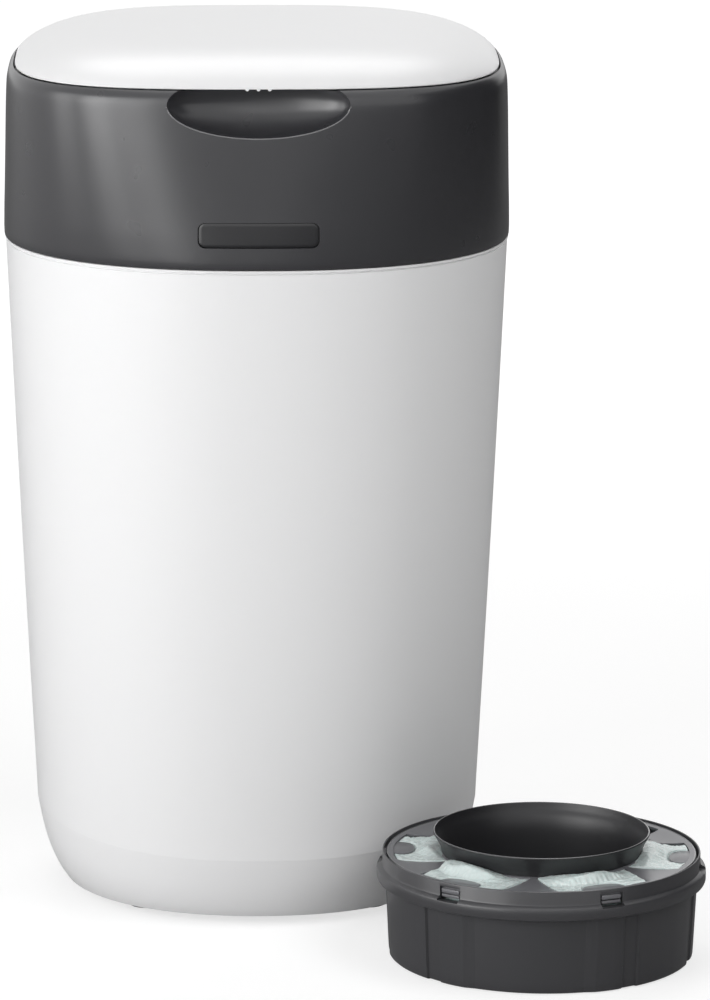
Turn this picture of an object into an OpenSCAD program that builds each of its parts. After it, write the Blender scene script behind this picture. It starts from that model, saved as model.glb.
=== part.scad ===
/* [Overall] */
// Width of the head at its lower edge
head_w = 265.2; // [238:0.1:330]
// How much less deep than wide every level of the bin is
plan_inset = 6.9; // [0:0.1:16]
// Height of the bucket to its rim
bucket_h = 351.8; // [280:0.1:430]
// Height from the bucket rim to the lip of the lid
head_h = 91.9; // [76:0.1:112]
// Height of the domed lid above its lip
lid_rise = 17.5; // [12:0.1:26]
/* [Bucket] */
// How far the bucket wall stands in from the head at the rim
bucket_step = 0.8; // [0.6:0.1:3]
// How far the rim bead stands in from the head
bead_step = 0.3; // [0.2:0.1:0.5]
// How far the wall tapers in between the rim and its foot
bucket_taper = 13.8; // [4:0.1:22]
// Height of the crease above the tucked base, at the front
crease_z = 38.2; // [26:0.1:60]
// How much higher the crease lies at the sides
crease_rise = 8.5; // [0:0.1:14]
// How far the flat underside stands in from the foot of the wall
base_step = 26; // [20:0.1:38]
// Wall of the bucket
bucket_wall = 2.6; // [1.8:0.1:4]
// Thickness of the bucket floor
floor_t = 3; // [2:0.1:5]
// How far the feet lift the bucket off the floor
foot_lift = 2.2; // [1:0.1:6]
// Radius of a rubber foot
foot_r = 11; // [7:0.5:16]
// How far the centres of the feet stand in from the edge of the underside
foot_in = 34; // [24:0.5:44]
/* [Head] */
// Wall of the collar
collar_wall = 2.6; // [1.8:0.1:4]
// Gap between the bucket rim and the collar
split_gap = 0.4; // [0.2:0.1:1]
// Gap between the lid lip and the collar shoulder
lid_gap = 0.9; // [0.5:0.1:2]
// Half length of the finger scoop
scoop_half = 46.6; // [30:0.5:60]
// Radius of the finger scoop
scoop_r = 17; // [12:0.5:19]
// Width of the release button
button_w = 61; // [40:0.5:80]
// Height of the release button
button_h = 12.4; // [9:0.2:18]
// How far the button face sits below the collar face
button_sink = 1.0; // [0.4:0.1:2]
// Travel of the release button
button_travel = 4; // [2:0.5:5]
/* [Cassette] */
// Radius of the cassette at its lip
lip_r = 81.5; // [67:0.1:86]
// Height of the cassette to its lip
lip_z = 54.6; // [45:0.1:60]
// How far the flange stands out past the lip
flange_out = 2.9; // [1.5:0.1:5]
// Radius of the neck at its rim
neck_r = 55.6; // [44:0.1:60]
// How far the neck rises above the lip
neck_rise = 10.2; // [4:0.2:12]
// Wall of the cassette
cassette_wall = 2.2; // [1.4:0.1:3]
/* [Mechanism] */
// Play between the cassette and the turning cup
cassette_play = 1.6; // [0.8:0.1:3]
// Running gap round the turning cup
cup_gap = 0.4; // [0.3:0.05:1]
// Number of teeth on the click ring
tooth_count = 36; // [24:1:60]
// Height of a click tooth
tooth_h = 3.4; // [2:0.1:4]
// How far the petal hinges stand out from the chute wall
petal_out = 0; // [0:0.1:2]
// Slope of a closed petal below the level, in degrees
petal_slope = 16; // [8:1:24]
/* [Hidden] */
$fn = 64;
sides = 64;
inset = plan_inset / 2;
// Overlap of a cut past its face, play at a seat, and play round a hinge pin
eps = 0.01;
fit_gap = 0.3;
pin_gap = 0.05;

// Squareness of the plan at the floor, at the bucket rim and under the lid
square_base = 2.16;
square_rim = 2.28;
square_top = 3.1;
square_lid = 3.17;

// Levels from the floor up
rim_z = bucket_h;
collar_z = rim_z + split_gap;
lip_top = rim_z + head_h;
shoulder_z = lip_top - 0.7;
seat_z = shoulder_z - 6;
seat_t = 2.6;
deck_top = seat_z - seat_t - fit_gap;
deck_t = 3;

// Widths of the head from the outside in
head_half = head_w / 2;
shoulder_half = head_half - 2.1;
lid_half = shoulder_half - 3.55 - lid_gap;
seat_half = head_half - 18.1;
liner_half = seat_half - 6;

function mix(a, b, t) = a + (b - a) * t;
function lerp_z(z, z0, z1, a, b) = mix(a, b, (z - z0) / (z1 - z0));
function bucket_square(z) = lerp_z(z, 0, rim_z, square_base, square_rim);
function collar_square(z) = mix(square_rim, square_top, min(1, (z - rim_z) / (seat_z - rim_z)));
function plan_r(a, n, t) = pow(pow(abs(cos(t)) / a, n) + pow(abs(sin(t)) / (a - inset), n), -1 / n);
function plan_points(a, n) = [for (i = [0:sides - 1]) let (t = 360 * i / sides)
    plan_r(a, n, t) * [cos(t), sin(t)]];

// Solid through stacked plan outlines, each given as half width, height and squareness
module loft(levels, closed = false) {
    skin([for (l = levels) flat_ring(l[0], l[1], l[2])], closed);
}
function flat_ring(half, z, n) = [for (p = plan_points(half, n)) [p.x, p.y, z]];

// Solid through rings of points that needn't be level
module skin(rings, closed = false) {
    count = len(rings);
    walls = [for (j = [0:count - (closed ? 1 : 2)], i = [0:sides - 1])
        let (a = j * sides, b = (j + 1) % count * sides, k = (i + 1) % sides)
        each [[a + i, b + i, b + k], [a + i, b + k, a + k]]];
    caps = closed ? [] : [[for (i = [0:sides - 1]) i],
        [for (i = [sides - 1:-1:0]) (count - 1) * sides + i]];
    polyhedron([for (r = rings) each r], concat(walls, caps));
}

// Flat shape in the plane of depth and height, drawn out along the width
module across(x0, x1) {
    translate([x0, 0, 0]) rotate([90, 0, 90]) linear_extrude(x1 - x0) children();
}
module rod_x(x0, x1, y, z, r) {
    translate([x0, y, z]) rotate([0, 90, 0]) cylinder(r = r, h = x1 - x0);
}
module block(low, high) {
    translate(low) cube(high - low);
}
module screw(length, shank_r, head_r, head_t) {
    cylinder(r = shank_r, h = length);
    translate([0, 0, -head_t]) difference() {
        cylinder(r1 = head_r - 0.8, r2 = head_r, h = head_t);
        translate([0, 0, -eps]) cylinder(r = shank_r, h = head_t * 0.6, $fn = 6);
    }
}

// Bucket: half widths and levels of its profile
base_z = foot_lift;
taper_z = crease_z + crease_rise + 13.3;
body_top = rim_z - 2.3;
groove_top = rim_z - 1.3;
top_half = head_half - bucket_step;
foot_half = top_half - bucket_taper;
base_half = foot_half - base_step;
bead_half = head_half - bead_step;
base_round = 6.5;
tuck_slope = 0.45;
tuck_power = 3.2;
function taper_half(z) = lerp_z(z, taper_z, body_top, foot_half, top_half);
function crease_at(t) = crease_z + crease_rise * pow(abs(cos(t)), 3);
function tuck_lean(share) = tuck_slope * share + (1 - tuck_slope) * pow(share, tuck_power);
function tuck_half(part, edge) = mix(taper_half(edge), base_half + base_round, tuck_lean(1 - part));
function tuck_ring(part, cut = 0) = [for (i = [0:sides - 1]) let (t = 360 * i / sides, edge = crease_at(t),
    r = plan_r(tuck_half(part, edge) - cut, bucket_square(part * crease_z), t))
    [r * cos(t), r * sin(t), part * edge]];
function level_ring(half, z) = flat_ring(half, z, bucket_square(z));
function level(half, z) = [half, z, bucket_square(z)];
inner_half = top_half - bucket_wall - 0.2;
function inner_wall(z) = lerp_z(z, taper_z, rim_z + 1, foot_half - bucket_wall, inner_half);
lug_depth = 9;
foot_x = base_half - foot_in;
foot_sink = 1.2;
foot_spots = [for (x = [-foot_x, foot_x], y = [-foot_x, foot_x]) [x, y]];

// Hinge between bucket and head
hinge_r = 6;
hinge_pin_r = 2.2;
hinge_y = head_half - inset + hinge_r + 0.25;
hinge_z = rim_z - 5.3;
hinge_half = 44;
hinge_arms = [[-31.6, -6.4], [6.4, 31.6]];
hinge_lugs = [[-hinge_half, -32], [-6, 6], [32, hinge_half]];

module bucket_lug(x0, x1) {
    low = hinge_z - 38;
    across(x0, x1) {
        polygon([
            [taper_half(low) - inset - lug_depth, low], [taper_half(low) - inset - 1, low],
            [hinge_y + hinge_r * cos(-28), hinge_z + hinge_r * sin(-28)],
            [hinge_y, hinge_z], [taper_half(body_top) - inset - lug_depth, hinge_z - 1.5]
        ]);
        translate([hinge_y, hinge_z]) circle(r = hinge_r);
    }
}

module bucket_shell() {
    groove = 0.5;
    edge = 0.4;
    color("whitesmoke") difference() {
        union() {
            skin([
                level_ring(base_half, base_z), level_ring(base_half + base_round * 0.6, base_z + 0.4),
                level_ring(base_half + base_round * 1.2, base_z + 1.6),
                for (part = [0.155, 0.31, 0.52, 0.76, 1]) tuck_ring(part),
                level_ring(foot_half, taper_z), level_ring(top_half, body_top),
                level_ring(top_half - groove, body_top + 0.2),
                level_ring(top_half - groove, groove_top - 0.2), level_ring(bead_half, groove_top),
                level_ring(bead_half, rim_z - edge), level_ring(bead_half - edge, rim_z)
            ]);
            for (l = hinge_lugs) bucket_lug(l[0], l[1]);
        }
        skin([
            level_ring(base_half - 2, base_z + floor_t),
            level_ring(base_half + base_round, base_z + floor_t + 3),
            for (part = [0.52, 1]) tuck_ring(part, bucket_wall),
            level_ring(foot_half - bucket_wall, taper_z), level_ring(inner_half, rim_z + 1)
        ]);
        for (p = foot_spots) translate([p.x, p.y, base_z - 1])
            cylinder(r = foot_r + 0.1, h = 1 + foot_sink);
        rod_x(-hinge_half - 1, hinge_half + 1, hinge_y, hinge_z, hinge_pin_r + eps);
    }
}

module rubber_feet() {
    top = base_z + foot_sink - eps;
    color("dimgray") for (p = foot_spots) translate([p.x, p.y, 0]) rotate_extrude()
        polygon([[0, 0.4], [foot_r - 4, 0], [foot_r - 1.2, 0], [foot_r, 1.2], [foot_r, top], [0, top]]);
}

module rim_gasket() {
    outer = inner_half - fit_gap;
    low = rim_z - 8.5;
    high = rim_z + 2.6;
    color("dimgray") loft([
        level(outer - 0.4, low), level(outer, rim_z - 3), level(outer, rim_z + 0.4),
        level(outer + 1, high - 0.4), level(outer - 0.2, high),
        level(outer - 2.4, rim_z), level(outer - 2.6, low)
    ], closed = true);
}

striker_half = 13;
striker_top = rim_z - 10;
striker_drop = 12;
striker_lip = 2.8;
striker_back = 2 * fit_gap + inset - inner_wall(striker_top);
striker_face = striker_back + 5;
module catch_striker() {
    color("whitesmoke") difference() {
        across(-striker_half, striker_half) polygon([
            [striker_back, striker_top], [striker_face - 1, striker_top],
            [striker_face, striker_top - 1], [striker_face, striker_top - striker_lip],
            [striker_back + 2, striker_top - striker_lip],
            [striker_back + 2, striker_top - striker_drop], [striker_back + 0.6, striker_top - striker_drop]
        ]);
        for (x = [-6, 6]) translate([x, striker_back - 1, striker_top - 8]) rotate([-90, 0, 0])
            cylinder(r = 1.5, h = 6);
    }
}

module head_hinge_pin() {
    color("silver") rod_x(-hinge_half, hinge_half, hinge_y, hinge_z, hinge_pin_r);
}

// Head
function collar_level(half, z) = [half, z, collar_square(z)];
function collar_outer(cut) = [
    collar_level(head_half - cut, collar_z),
    collar_level(head_half + 0.1 - cut, collar_z + 4),
    collar_level(head_half - 0.5 - cut, collar_z + 28),
    collar_level(head_half - 1.5 - cut, seat_z - 17),
    collar_level(shoulder_half - cut, seat_z - 2),
    collar_level(shoulder_half - 0.6 - cut, shoulder_z - 4),
    collar_level(shoulder_half - 1.7 - cut, shoulder_z - 1.6),
    collar_level(shoulder_half - 2.8 - cut, shoulder_z - 0.3),
    collar_level(shoulder_half - 3.5 - cut, shoulder_z)
];
module collar_core(cut) {
    loft(collar_outer(cut));
}
collar_back = head_half - inset;
scoop_y = -(shoulder_half - inset);
scoop_z = lip_top - 7.7;

// Spindle-shaped hollow for the fingers, with an elliptical outline along the width
module scoop(grow) {
    steps = 18;
    long = scoop_half + grow;
    deep = scoop_r + grow;
    translate([0, scoop_y, scoop_z]) rotate([0, 90, 0]) rotate_extrude()
        polygon([for (i = [0:steps]) let (t = 180 * i / steps - 90)
            [deep * cos(t) * (i == 0 || i == steps ? 0 : 1), long * sin(t)]]);
}

// Hinge between head and lid
lid_pin_r = 1.75;
knuckle_r = 4.5;
lid_hinge_y = collar_back - 4.65;
lid_hinge_z = seat_z - 2.5;
notch_half = 52;
notch_floor = lid_hinge_z - knuckle_r - 1;
notch_y = lid_hinge_y - 12.5;
lid_knuckles = [[-36, -16], [16, 36]];
collar_knuckles = [[-46.4, -36.4], [-15.6, 15.6], [36.4, 46.4]];

// Places of the screws that hold the funnel deck up against the seat
deck_screw_spots = [for (s = [-1, 1]) each [
    [s * (seat_half + 5.6), 0],
    for (t = [-1, 1]) seat_half / 114.5 * [87 * s, 100 * t]
]];
boss_r = 3.6;
boss_end = deck_top - deck_t + 0.4;

arm_top = collar_z + 38;
module collar_arms() {
    difference() {
        for (a = hinge_arms) across(a[0], a[1]) {
            polygon([
                [collar_back - lug_depth, arm_top], [collar_back - lug_depth, collar_z + fit_gap],
                [hinge_y - hinge_r + 0.2, collar_z + fit_gap], [hinge_y - hinge_r + 0.2, hinge_z],
                [hinge_y + hinge_r - eps, hinge_z],
                [hinge_y + hinge_r * cos(24), hinge_z + hinge_r * sin(24)],
                [collar_back - 1, arm_top]
            ]);
            translate([hinge_y, hinge_z]) circle(r = hinge_r);
        }
        translate([0, 0, -0.5]) collar_core(collar_wall - 0.3);
    }
}

button_z = collar_z + 17.7;
button_corner = 3.4;
button_gap = 0.4;
tunnel_wall = 2;
tunnel_back = -collar_back + 10.5;
hook_half = 9;
hook_t = 3;
hook_back = tunnel_back + 1 + hook_t;
module button_outline(grow) {
    w = button_w / 2 - button_corner;
    h = button_h / 2 - button_corner;
    r = button_corner + grow;
    polygon([for (q = [0:3], i = [0:6]) let (t = 90 * q + 15 * i)
        [(q == 0 || q == 3 ? w : -w) + r * cos(t), (q < 2 ? h : -h) + r * sin(t)]]);
}
module button_prism(grow, front, back) {
    translate([0, back, button_z]) rotate([90, 0, 0]) linear_extrude(back - front)
        button_outline(grow);
}
module lid_knuckle(span) {
    difference() {
        union() {
            rod_x(span[0], span[1], lid_hinge_y, lid_hinge_z, knuckle_r);
            block([span[0], lid_hinge_y - 3.4, notch_floor - 1],
                [span[1], lid_hinge_y + 2, lid_hinge_z]);
        }
        rod_x(span[0] - 1, span[1] + 1, lid_hinge_y, lid_hinge_z, lid_pin_r + eps);
    }
}

module collar_shell() {
    color("#4b4b4f") difference() {
        union() {
            loft(concat(collar_outer(0), [
                collar_level(lid_half + lid_gap, shoulder_z - 0.6), collar_level(lid_half + lid_gap, seat_z),
                collar_level(seat_half, seat_z), collar_level(seat_half, seat_z - seat_t),
                collar_level(shoulder_half - collar_wall - 0.1, seat_z - seat_t),
                collar_level(head_half - 1.5 - collar_wall, seat_z - 17),
                collar_level(head_half - collar_wall, collar_z + 4),
                collar_level(head_half - collar_wall, collar_z)
            ]), closed = true);
            intersection() {
                union() {
                    intersection() {
                        scoop(2.4);
                        block([-80, -200, seat_z - 40], [80, 0, shoulder_z - 0.4]);
                    }
                    block([-notch_half - 2, notch_y - 2, notch_floor - 2.6],
                        [notch_half + 2, collar_back, seat_z - 0.4]);
                    button_prism(button_gap + tunnel_wall, -head_half, tunnel_back);
                }
                collar_core(0.6);
            }
            collar_arms();
            for (p = deck_screw_spots) translate([p.x, p.y, boss_end])
                cylinder(r = boss_r, h = seat_z - boss_end - 1);
        }
        scoop(0);
        block([-notch_half, notch_y, notch_floor], [notch_half, collar_back + 20, shoulder_z + 5]);
        button_prism(button_gap, -head_half - 5, tunnel_back + 1);
        for (p = deck_screw_spots) translate([p.x, p.y, boss_end - 1])
            cylinder(r = 1.4, h = seat_z - boss_end - 0.4);
        rod_x(-hinge_half, hinge_half, hinge_y, hinge_z, hinge_pin_r + pin_gap);
    }
    color("#4b4b4f") for (k = collar_knuckles) lid_knuckle(k);
}

// Turning cup and the well it runs in
flange_r = lip_r + flange_out;
cup_in = flange_r + cassette_play;
cup_wall = 2;
cup_out = cup_in + cup_wall;
well_in = cup_out + cup_gap;
well_out = well_in + 2.2;
neck_z = lip_z + neck_rise;
cup_floor = deck_top - neck_z - 3.4;
cup_floor_t = 3;
cup_rim = deck_top + 0.4;
cup_rim_t = 2.8;
cup_rim_r = cup_out + 9;
well_floor = cup_floor - cup_floor_t - 10.6;
well_floor_t = 2.8;
chute_r = neck_r - 1.6;
well_bore = chute_r + 6;
click_tip = cup_in - 6;
click_z = cup_floor - cup_floor_t - 4.6;
click_t = 4.5;
pawl_turn = 240;
pawl_r = click_tip + 4.2;
pawl_lead = 15;
pawl_pin_r = 1.5;
deck_half = shoulder_half - collar_wall - 0.4;
deck_rib_t = 2;
screw_r = 1.35;

module around(count, r, offset = 0) {
    for (i = [0:count - 1]) rotate([0, 0, offset + 360 * i / count]) translate([r, 0, 0]) children();
}
module pawl_spot() {
    rotate([0, 0, pawl_turn + pawl_lead]) translate([pawl_r, 0, 0]) children();
}
ring_screw_r = (well_bore + well_out) / 2 - 2;

module funnel_deck() {
    color("#5a5a5e") difference() {
        union() {
            translate([0, 0, deck_top - deck_t]) linear_extrude(deck_t)
                polygon(plan_points(deck_half, collar_square(deck_top - deck_t)));
            translate([0, 0, well_floor]) cylinder(r = well_out, h = deck_top - well_floor - 1);
            translate([0, 0, deck_top - eps]) cylinder(r = well_out + 4, h = fit_gap);
            around(12, well_out - 1, 15) rotate([90, 0, 0]) translate([0, 0, -deck_rib_t / 2])
                linear_extrude(deck_rib_t) polygon([
                    [0, deck_top - deck_t + 1], [16, deck_top - deck_t + 1], [0, deck_top - deck_t - 26]
                ]);
        }
        translate([0, 0, well_floor + well_floor_t]) cylinder(r = well_in, h = 200);
        translate([0, 0, well_floor - 1]) cylinder(r = well_bore, h = 20);
        scoop(2.4 + fit_gap);
        block([-notch_half - 2.4, notch_y - 2.4, 0], [notch_half + 2.4, 200, 600]);
        for (p = deck_screw_spots) translate([p.x, p.y, deck_top - 20])
            cylinder(r = boss_r + fit_gap, h = 40);
        translate([0, 0, well_floor - 1]) around(6, ring_screw_r, 30) cylinder(r = 1.45, h = 20);
        translate([0, 0, well_floor - 1]) pawl_spot() cylinder(r = pawl_pin_r + eps, h = 10);
        rotate([0, 0, pawl_turn - 9]) translate([click_tip - 7, -5, well_floor - 1]) cube([12, 14, 10]);
    }
}

module deck_screws() {
    color("silver") for (p = deck_screw_spots) translate([p.x, p.y, deck_top - deck_t - 0.1])
        screw(4.6, screw_r, 5.2, 2.2);
}

// Hinged petals that close the chute from below
petal_hinge_r = chute_r + petal_out;
petal_z = well_floor - 6.4;
petal_pin_r = 1.25;
petal_knuckle_r = 3;
petal_half = 9.8;
ear_gap = 0.6;
ear_w = 4;
ear_r = 4.4;
ring_top = well_floor - 0.2;
ring_t = 3.6;
ring_out = well_out - 4;
ring_in = petal_hinge_r + petal_knuckle_r + 1.5;

module petal_ring() {
    ears = [-petal_half - ear_gap - ear_w, petal_half + ear_gap];
    color("#6f6f74") difference() {
        union() {
            translate([0, 0, ring_top - ring_t]) difference() {
                cylinder(r = ring_out, h = ring_t);
                translate([0, 0, -1]) cylinder(r = ring_in, h = ring_t + 2);
            }
            translate([0, 0, ring_top - ring_t - 5]) difference() {
                cylinder(r = ring_out, h = 6);
                translate([0, 0, -1]) cylinder(r = ring_out - 2, h = 8);
            }
            around(6, petal_hinge_r) for (y = ears) translate([0, y, petal_z]) {
                rotate([-90, 0, 0]) cylinder(r = ear_r, h = ear_w);
                translate([0, 0, -ear_r]) cube([8, ear_w, ear_r * 2]);
            }
        }
        around(6, petal_hinge_r) translate([0, -20, petal_z]) rotate([-90, 0, 0])
            cylinder(r = petal_pin_r + eps, h = 40);
        translate([0, 0, ring_top - 10]) around(6, ring_screw_r, 30) cylinder(r = 1.8, h = 20);
    }
}

module petal_pins() {
    reach = petal_half + ear_gap + ear_w;
    color("silver") around(6, petal_hinge_r) translate([0, -reach, petal_z]) rotate([-90, 0, 0])
        cylinder(r = petal_pin_r, h = 2 * reach);
}

module ring_screws() {
    color("silver") translate([0, 0, ring_top - ring_t - 0.1]) around(6, ring_screw_r, 30)
        screw(ring_t + 2.6, 1.4, 4.2, 2);
}

petal_tip = 9;
petal_t = 1.8;
petal_clear = 1;
module petal(i) {
    near = 5.2;
    shoulder = near + 4;
    far = (petal_hinge_r - petal_tip) / cos(petal_slope);
    wide = (petal_hinge_r - near) * tan(30) - petal_clear;
    wide_in = (petal_hinge_r - shoulder) * tan(30) - petal_clear;
    narrow = petal_tip * tan(30) - petal_clear;
    color("#e9e9ea") rotate([0, 0, 60 * (i - 1)]) translate([petal_hinge_r, 0, petal_z])
    rotate([0, -petal_slope, 0]) difference() {
        union() {
            translate([0, 0, -petal_t / 2]) linear_extrude(petal_t) polygon([
                [0, -petal_half], [0, petal_half], [-near, petal_half], [-near, wide],
                [-shoulder, wide_in], [-far + 3, narrow + 1.7], [-far, narrow - 0.8],
                [-far, -narrow + 0.8], [-far + 3, -narrow - 1.7], [-shoulder, -wide_in],
                [-near, -wide], [-near, -petal_half]
            ]);
            rotate([90, 0, 0]) translate([0, 0, -petal_half])
                cylinder(r = petal_knuckle_r, h = 2 * petal_half);
            for (y = [-5, 5]) rotate([90, 0, 0]) translate([0, 0, -y - 0.6]) linear_extrude(1.2)
                polygon([
                    [-2, -1], [-far + 12, -petal_t / 2 + 0.1], [-far + 18, -2.6], [-8, -4], [-2, -2.4]
                ]);
        }
        translate([0, -20, 0]) rotate([-90, 0, 0]) cylinder(r = petal_pin_r + pin_gap, h = 40);
    }
}

// Guarded blade for cutting the film, under the front of the deck
guard_half = 14;
guard_low = well_floor + 4;
guard_high = guard_low + 18;
guard_front = hook_back + button_travel + 4;
blade_low = [-9, guard_front + 7.1, guard_low + 5.2];
blade_high = [9, guard_front + 7.5, guard_high - 2.2];
blade_gap = [0.2, 0.1, 0.2];
module cutter_guard() {
    color("#e9e9ea") difference() {
        translate([0, guard_front, 0]) rotate([-90, 0, 0]) linear_extrude(-guard_front - well_in + 8)
            polygon([
                [-guard_half, -guard_low - 2], [-guard_half, -guard_high], [guard_half, -guard_high],
                [guard_half, -guard_low - 2], [guard_half - 2, -guard_low], [6, -guard_low],
                [1, -guard_high + 7], [-1, -guard_high + 7], [-6, -guard_low], [2 - guard_half, -guard_low]
            ]);
        cylinder(r = well_out + 0.2, h = lip_top);
        block(blade_low - blade_gap, blade_high + blade_gap);
    }
}
module cutter_blade() {
    color("silver") block(blade_low, blade_high);
}

module pawl_pin() {
    color("silver") translate([0, 0, well_floor + 0.1]) pawl_spot()
        cylinder(r = pawl_pin_r, h = click_z + click_t - well_floor);
}

module lid_hinge_pin() {
    color("silver") rod_x(-46.4, 46.4, lid_hinge_y, lid_hinge_z, lid_pin_r);
}

// Release button with the hook that holds the head down
hook_low = striker_top - striker_lip - 6.2;
module release_button() {
    front = hook_back - hook_t;
    cap_back = -collar_back + 6;
    flange = 1.6;
    color("#3e3e42") {
        intersection() {
            button_prism(0, -head_half - 2, cap_back);
            collar_core(button_sink);
        }
        button_prism(-0.6, cap_back - 0.1, front + 0.4);
        button_prism(button_gap + 1.4, tunnel_back + fit_gap, tunnel_back + fit_gap + flange);
        across(-hook_half, hook_half) polygon([
            [front, button_z + 3], [hook_back, button_z + 3], [hook_back, hook_low],
            [hook_back - 2, hook_low], [striker_face + fit_gap, hook_low + 3.4],
            [striker_face + fit_gap, hook_low + 5.8], [hook_back - 2.6, hook_low + 5.8],
            [hook_back - 2.6, button_z - 3], [front, button_z - 3]
        ]);
    }
}

// Lid
lid_rim = lip_top + 0.2;
lid_wall = 2.4;
dome_power = 5.24;
dome_edge = 0.784;
function dome_z(rho) = lid_rim + lid_rise * pow(1 - pow(rho, dome_power), dome_edge);
function lid_level(half, z) = [half, z, square_lid];
dome_steps = [0.985, 0.96, 0.925, 0.88, 0.82, 0.74, 0.63, 0.45, 0.15];
liner_top = lid_rim + lid_rise - 9.2;
boss_ring = liner_half - 42.5;
tab_low = lip_top - 2.5;

module lid_panel() {
    under = lid_half - 2.2;
    lid_front = lid_half - inset;
    grip_pitch = 5.7;
    color("white") difference() {
        union() {
            loft(concat(
                [for (i = [len(dome_steps) - 1:-1:1])
                    lid_level(under * dome_steps[i], dome_z(dome_steps[i]) - lid_wall)],
                [lid_level(under - 0.6, lip_top + 1.4), lid_level(under, lip_top - 0.1),
                    lid_level(lid_half - 0.3, lip_top - 0.1), lid_level(lid_half, lid_rim + 0.1)],
                [for (s = dome_steps) lid_level(lid_half * s, dome_z(s))]
            ));
            intersection() {
                block([-notch_half + 1.4, notch_y + 1, tab_low],
                    [notch_half - 1.4, collar_back + 20, lip_top + 0.1]);
                translate([0, 0, tab_low]) linear_extrude(10) polygon(plan_points(shoulder_half, square_top));
            }
            for (k = lid_knuckles) {
                rod_x(k[0], k[1], lid_hinge_y, lid_hinge_z, knuckle_r);
                block([k[0], lid_hinge_y - 3, lid_hinge_z], [k[1], lid_hinge_y + 2.4, tab_low + 0.5]);
            }
            for (x = [-grip_pitch, 0, grip_pitch]) translate([x, 0.4 - lid_front, lip_top - 0.3])
                rotate([-90, 0, 0]) cylinder(r = 1, h = 9);
            block([-grip_pitch - 3.3, 1.6 - lid_front, lip_top - 0.2],
                [grip_pitch + 3.3, 10 - lid_front, lip_top + 1.2]);
            around(6, boss_ring, 30) translate([0, 0, liner_top + 0.3])
                cylinder(r = 3.6, h = lid_rim + lid_rise * 0.96 - lid_wall + 1 - liner_top);
        }
        around(6, boss_ring, 30) translate([0, 0, liner_top]) cylinder(r = 1.4, h = 6);
        rod_x(-50, 50, lid_hinge_y, lid_hinge_z, lid_pin_r + pin_gap);
    }
}

liner_t = 2;
module lid_liner() {
    low = deck_top + 3.2;
    color("gainsboro") difference() {
        loft([
            lid_level(20, liner_top - liner_t), lid_level(liner_half - 26, liner_top - liner_t),
            lid_level(liner_half - 12.5, liner_top - liner_t - 2), lid_level(liner_half - 4.2, low + 4),
            lid_level(liner_half - 4.2, low), lid_level(liner_half, low),
            lid_level(liner_half, low + 4.6), lid_level(liner_half - 10, liner_top - 2),
            lid_level(liner_half - 25, liner_top), lid_level(20, liner_top)
        ]);
        around(6, boss_ring, 30) cylinder(r = 1.7, h = 600);
    }
}

module lid_seal() {
    low = deck_top + 0.5;
    high = deck_top + 3.1;
    color("dimgray") loft([
        lid_level(liner_half - 3.2, low), lid_level(liner_half - 1, low), lid_level(liner_half - 0.3, high),
        lid_level(liner_half - 4.2, high)
    ], closed = true);
}

module liner_screws() {
    color("silver") translate([0, 0, liner_top - liner_t - 0.1]) around(6, boss_ring, 30)
        screw(7, screw_r, 4.2, 1.8);
}

// Twist mechanism
drive_ribs = 6;
grip_span = 22;
grip_low = cup_rim + cup_rim_t;
pad_low = grip_low + 2.4;
module twist_cup() {
    color("#3a3a3d") difference() {
        union() {
            rotate_extrude() polygon([
                [chute_r, cup_floor - cup_floor_t], [cup_out - 1.5, cup_floor - cup_floor_t],
                [cup_out, cup_floor - cup_floor_t + 1.5], [cup_out, cup_rim], [cup_rim_r, cup_rim],
                [cup_rim_r, grip_low - 1], [cup_rim_r - 1, grip_low],
                [cup_in + 0.8, grip_low], [cup_in, grip_low - 0.8],
                [cup_in, cup_floor], [chute_r + 2, cup_floor], [chute_r, cup_floor - 1]
            ]);
            around(drive_ribs, cup_in - cassette_play + 0.35) translate([0, -3, cup_floor - 0.5])
                cube([cassette_play, 6, lip_z - 12]);
            for (turn = [0, 180]) rotate([0, 0, turn - grip_span / 2]) rotate_extrude(angle = grip_span)
                polygon([
                    [cup_out + 0.5, grip_low - 0.5], [cup_rim_r - 2.5, grip_low - 0.5],
                    [cup_rim_r - 3, grip_low + 3.2], [cup_out + 1.2, grip_low + 3.2]
                ]);
        }
        for (turn = [0, 180]) rotate([0, 0, turn - grip_span / 2 + 2])
            rotate_extrude(angle = grip_span - 4) translate([cup_out + 1.9, pad_low])
                square([cup_rim_r - cup_out - 5.6, 2]);
    }
}

module grip_pads() {
    color("gray") for (turn = [0, 180]) rotate([0, 0, turn - grip_span / 2 + 2.2])
        rotate_extrude(angle = grip_span - 4.4) polygon([
            [cup_out + 2, pad_low], [cup_rim_r - 3.8, pad_low],
            [cup_rim_r - 4, pad_low + 1.8], [cup_rim_r - 4.8, pad_low + 2.4],
            [cup_out + 3, pad_low + 2.4], [cup_out + 2.2, pad_low + 1.8]
        ]);
}

function polar(r, t) = [r * cos(t), r * sin(t)];
tooth_pitch = 360 / tooth_count;
click_root = click_tip - tooth_h;
module click_ring() {
    color("#e9e9ea") translate([0, 0, click_z]) rotate([0, 0, pawl_turn]) linear_extrude(click_t)
        difference() {
            polygon([for (k = [0:tooth_count - 1]) each [
                polar(click_root, k * tooth_pitch), polar(click_tip, (k + 0.92) * tooth_pitch)
            ]]);
            circle(r = click_root - 9);
        }
}

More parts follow.
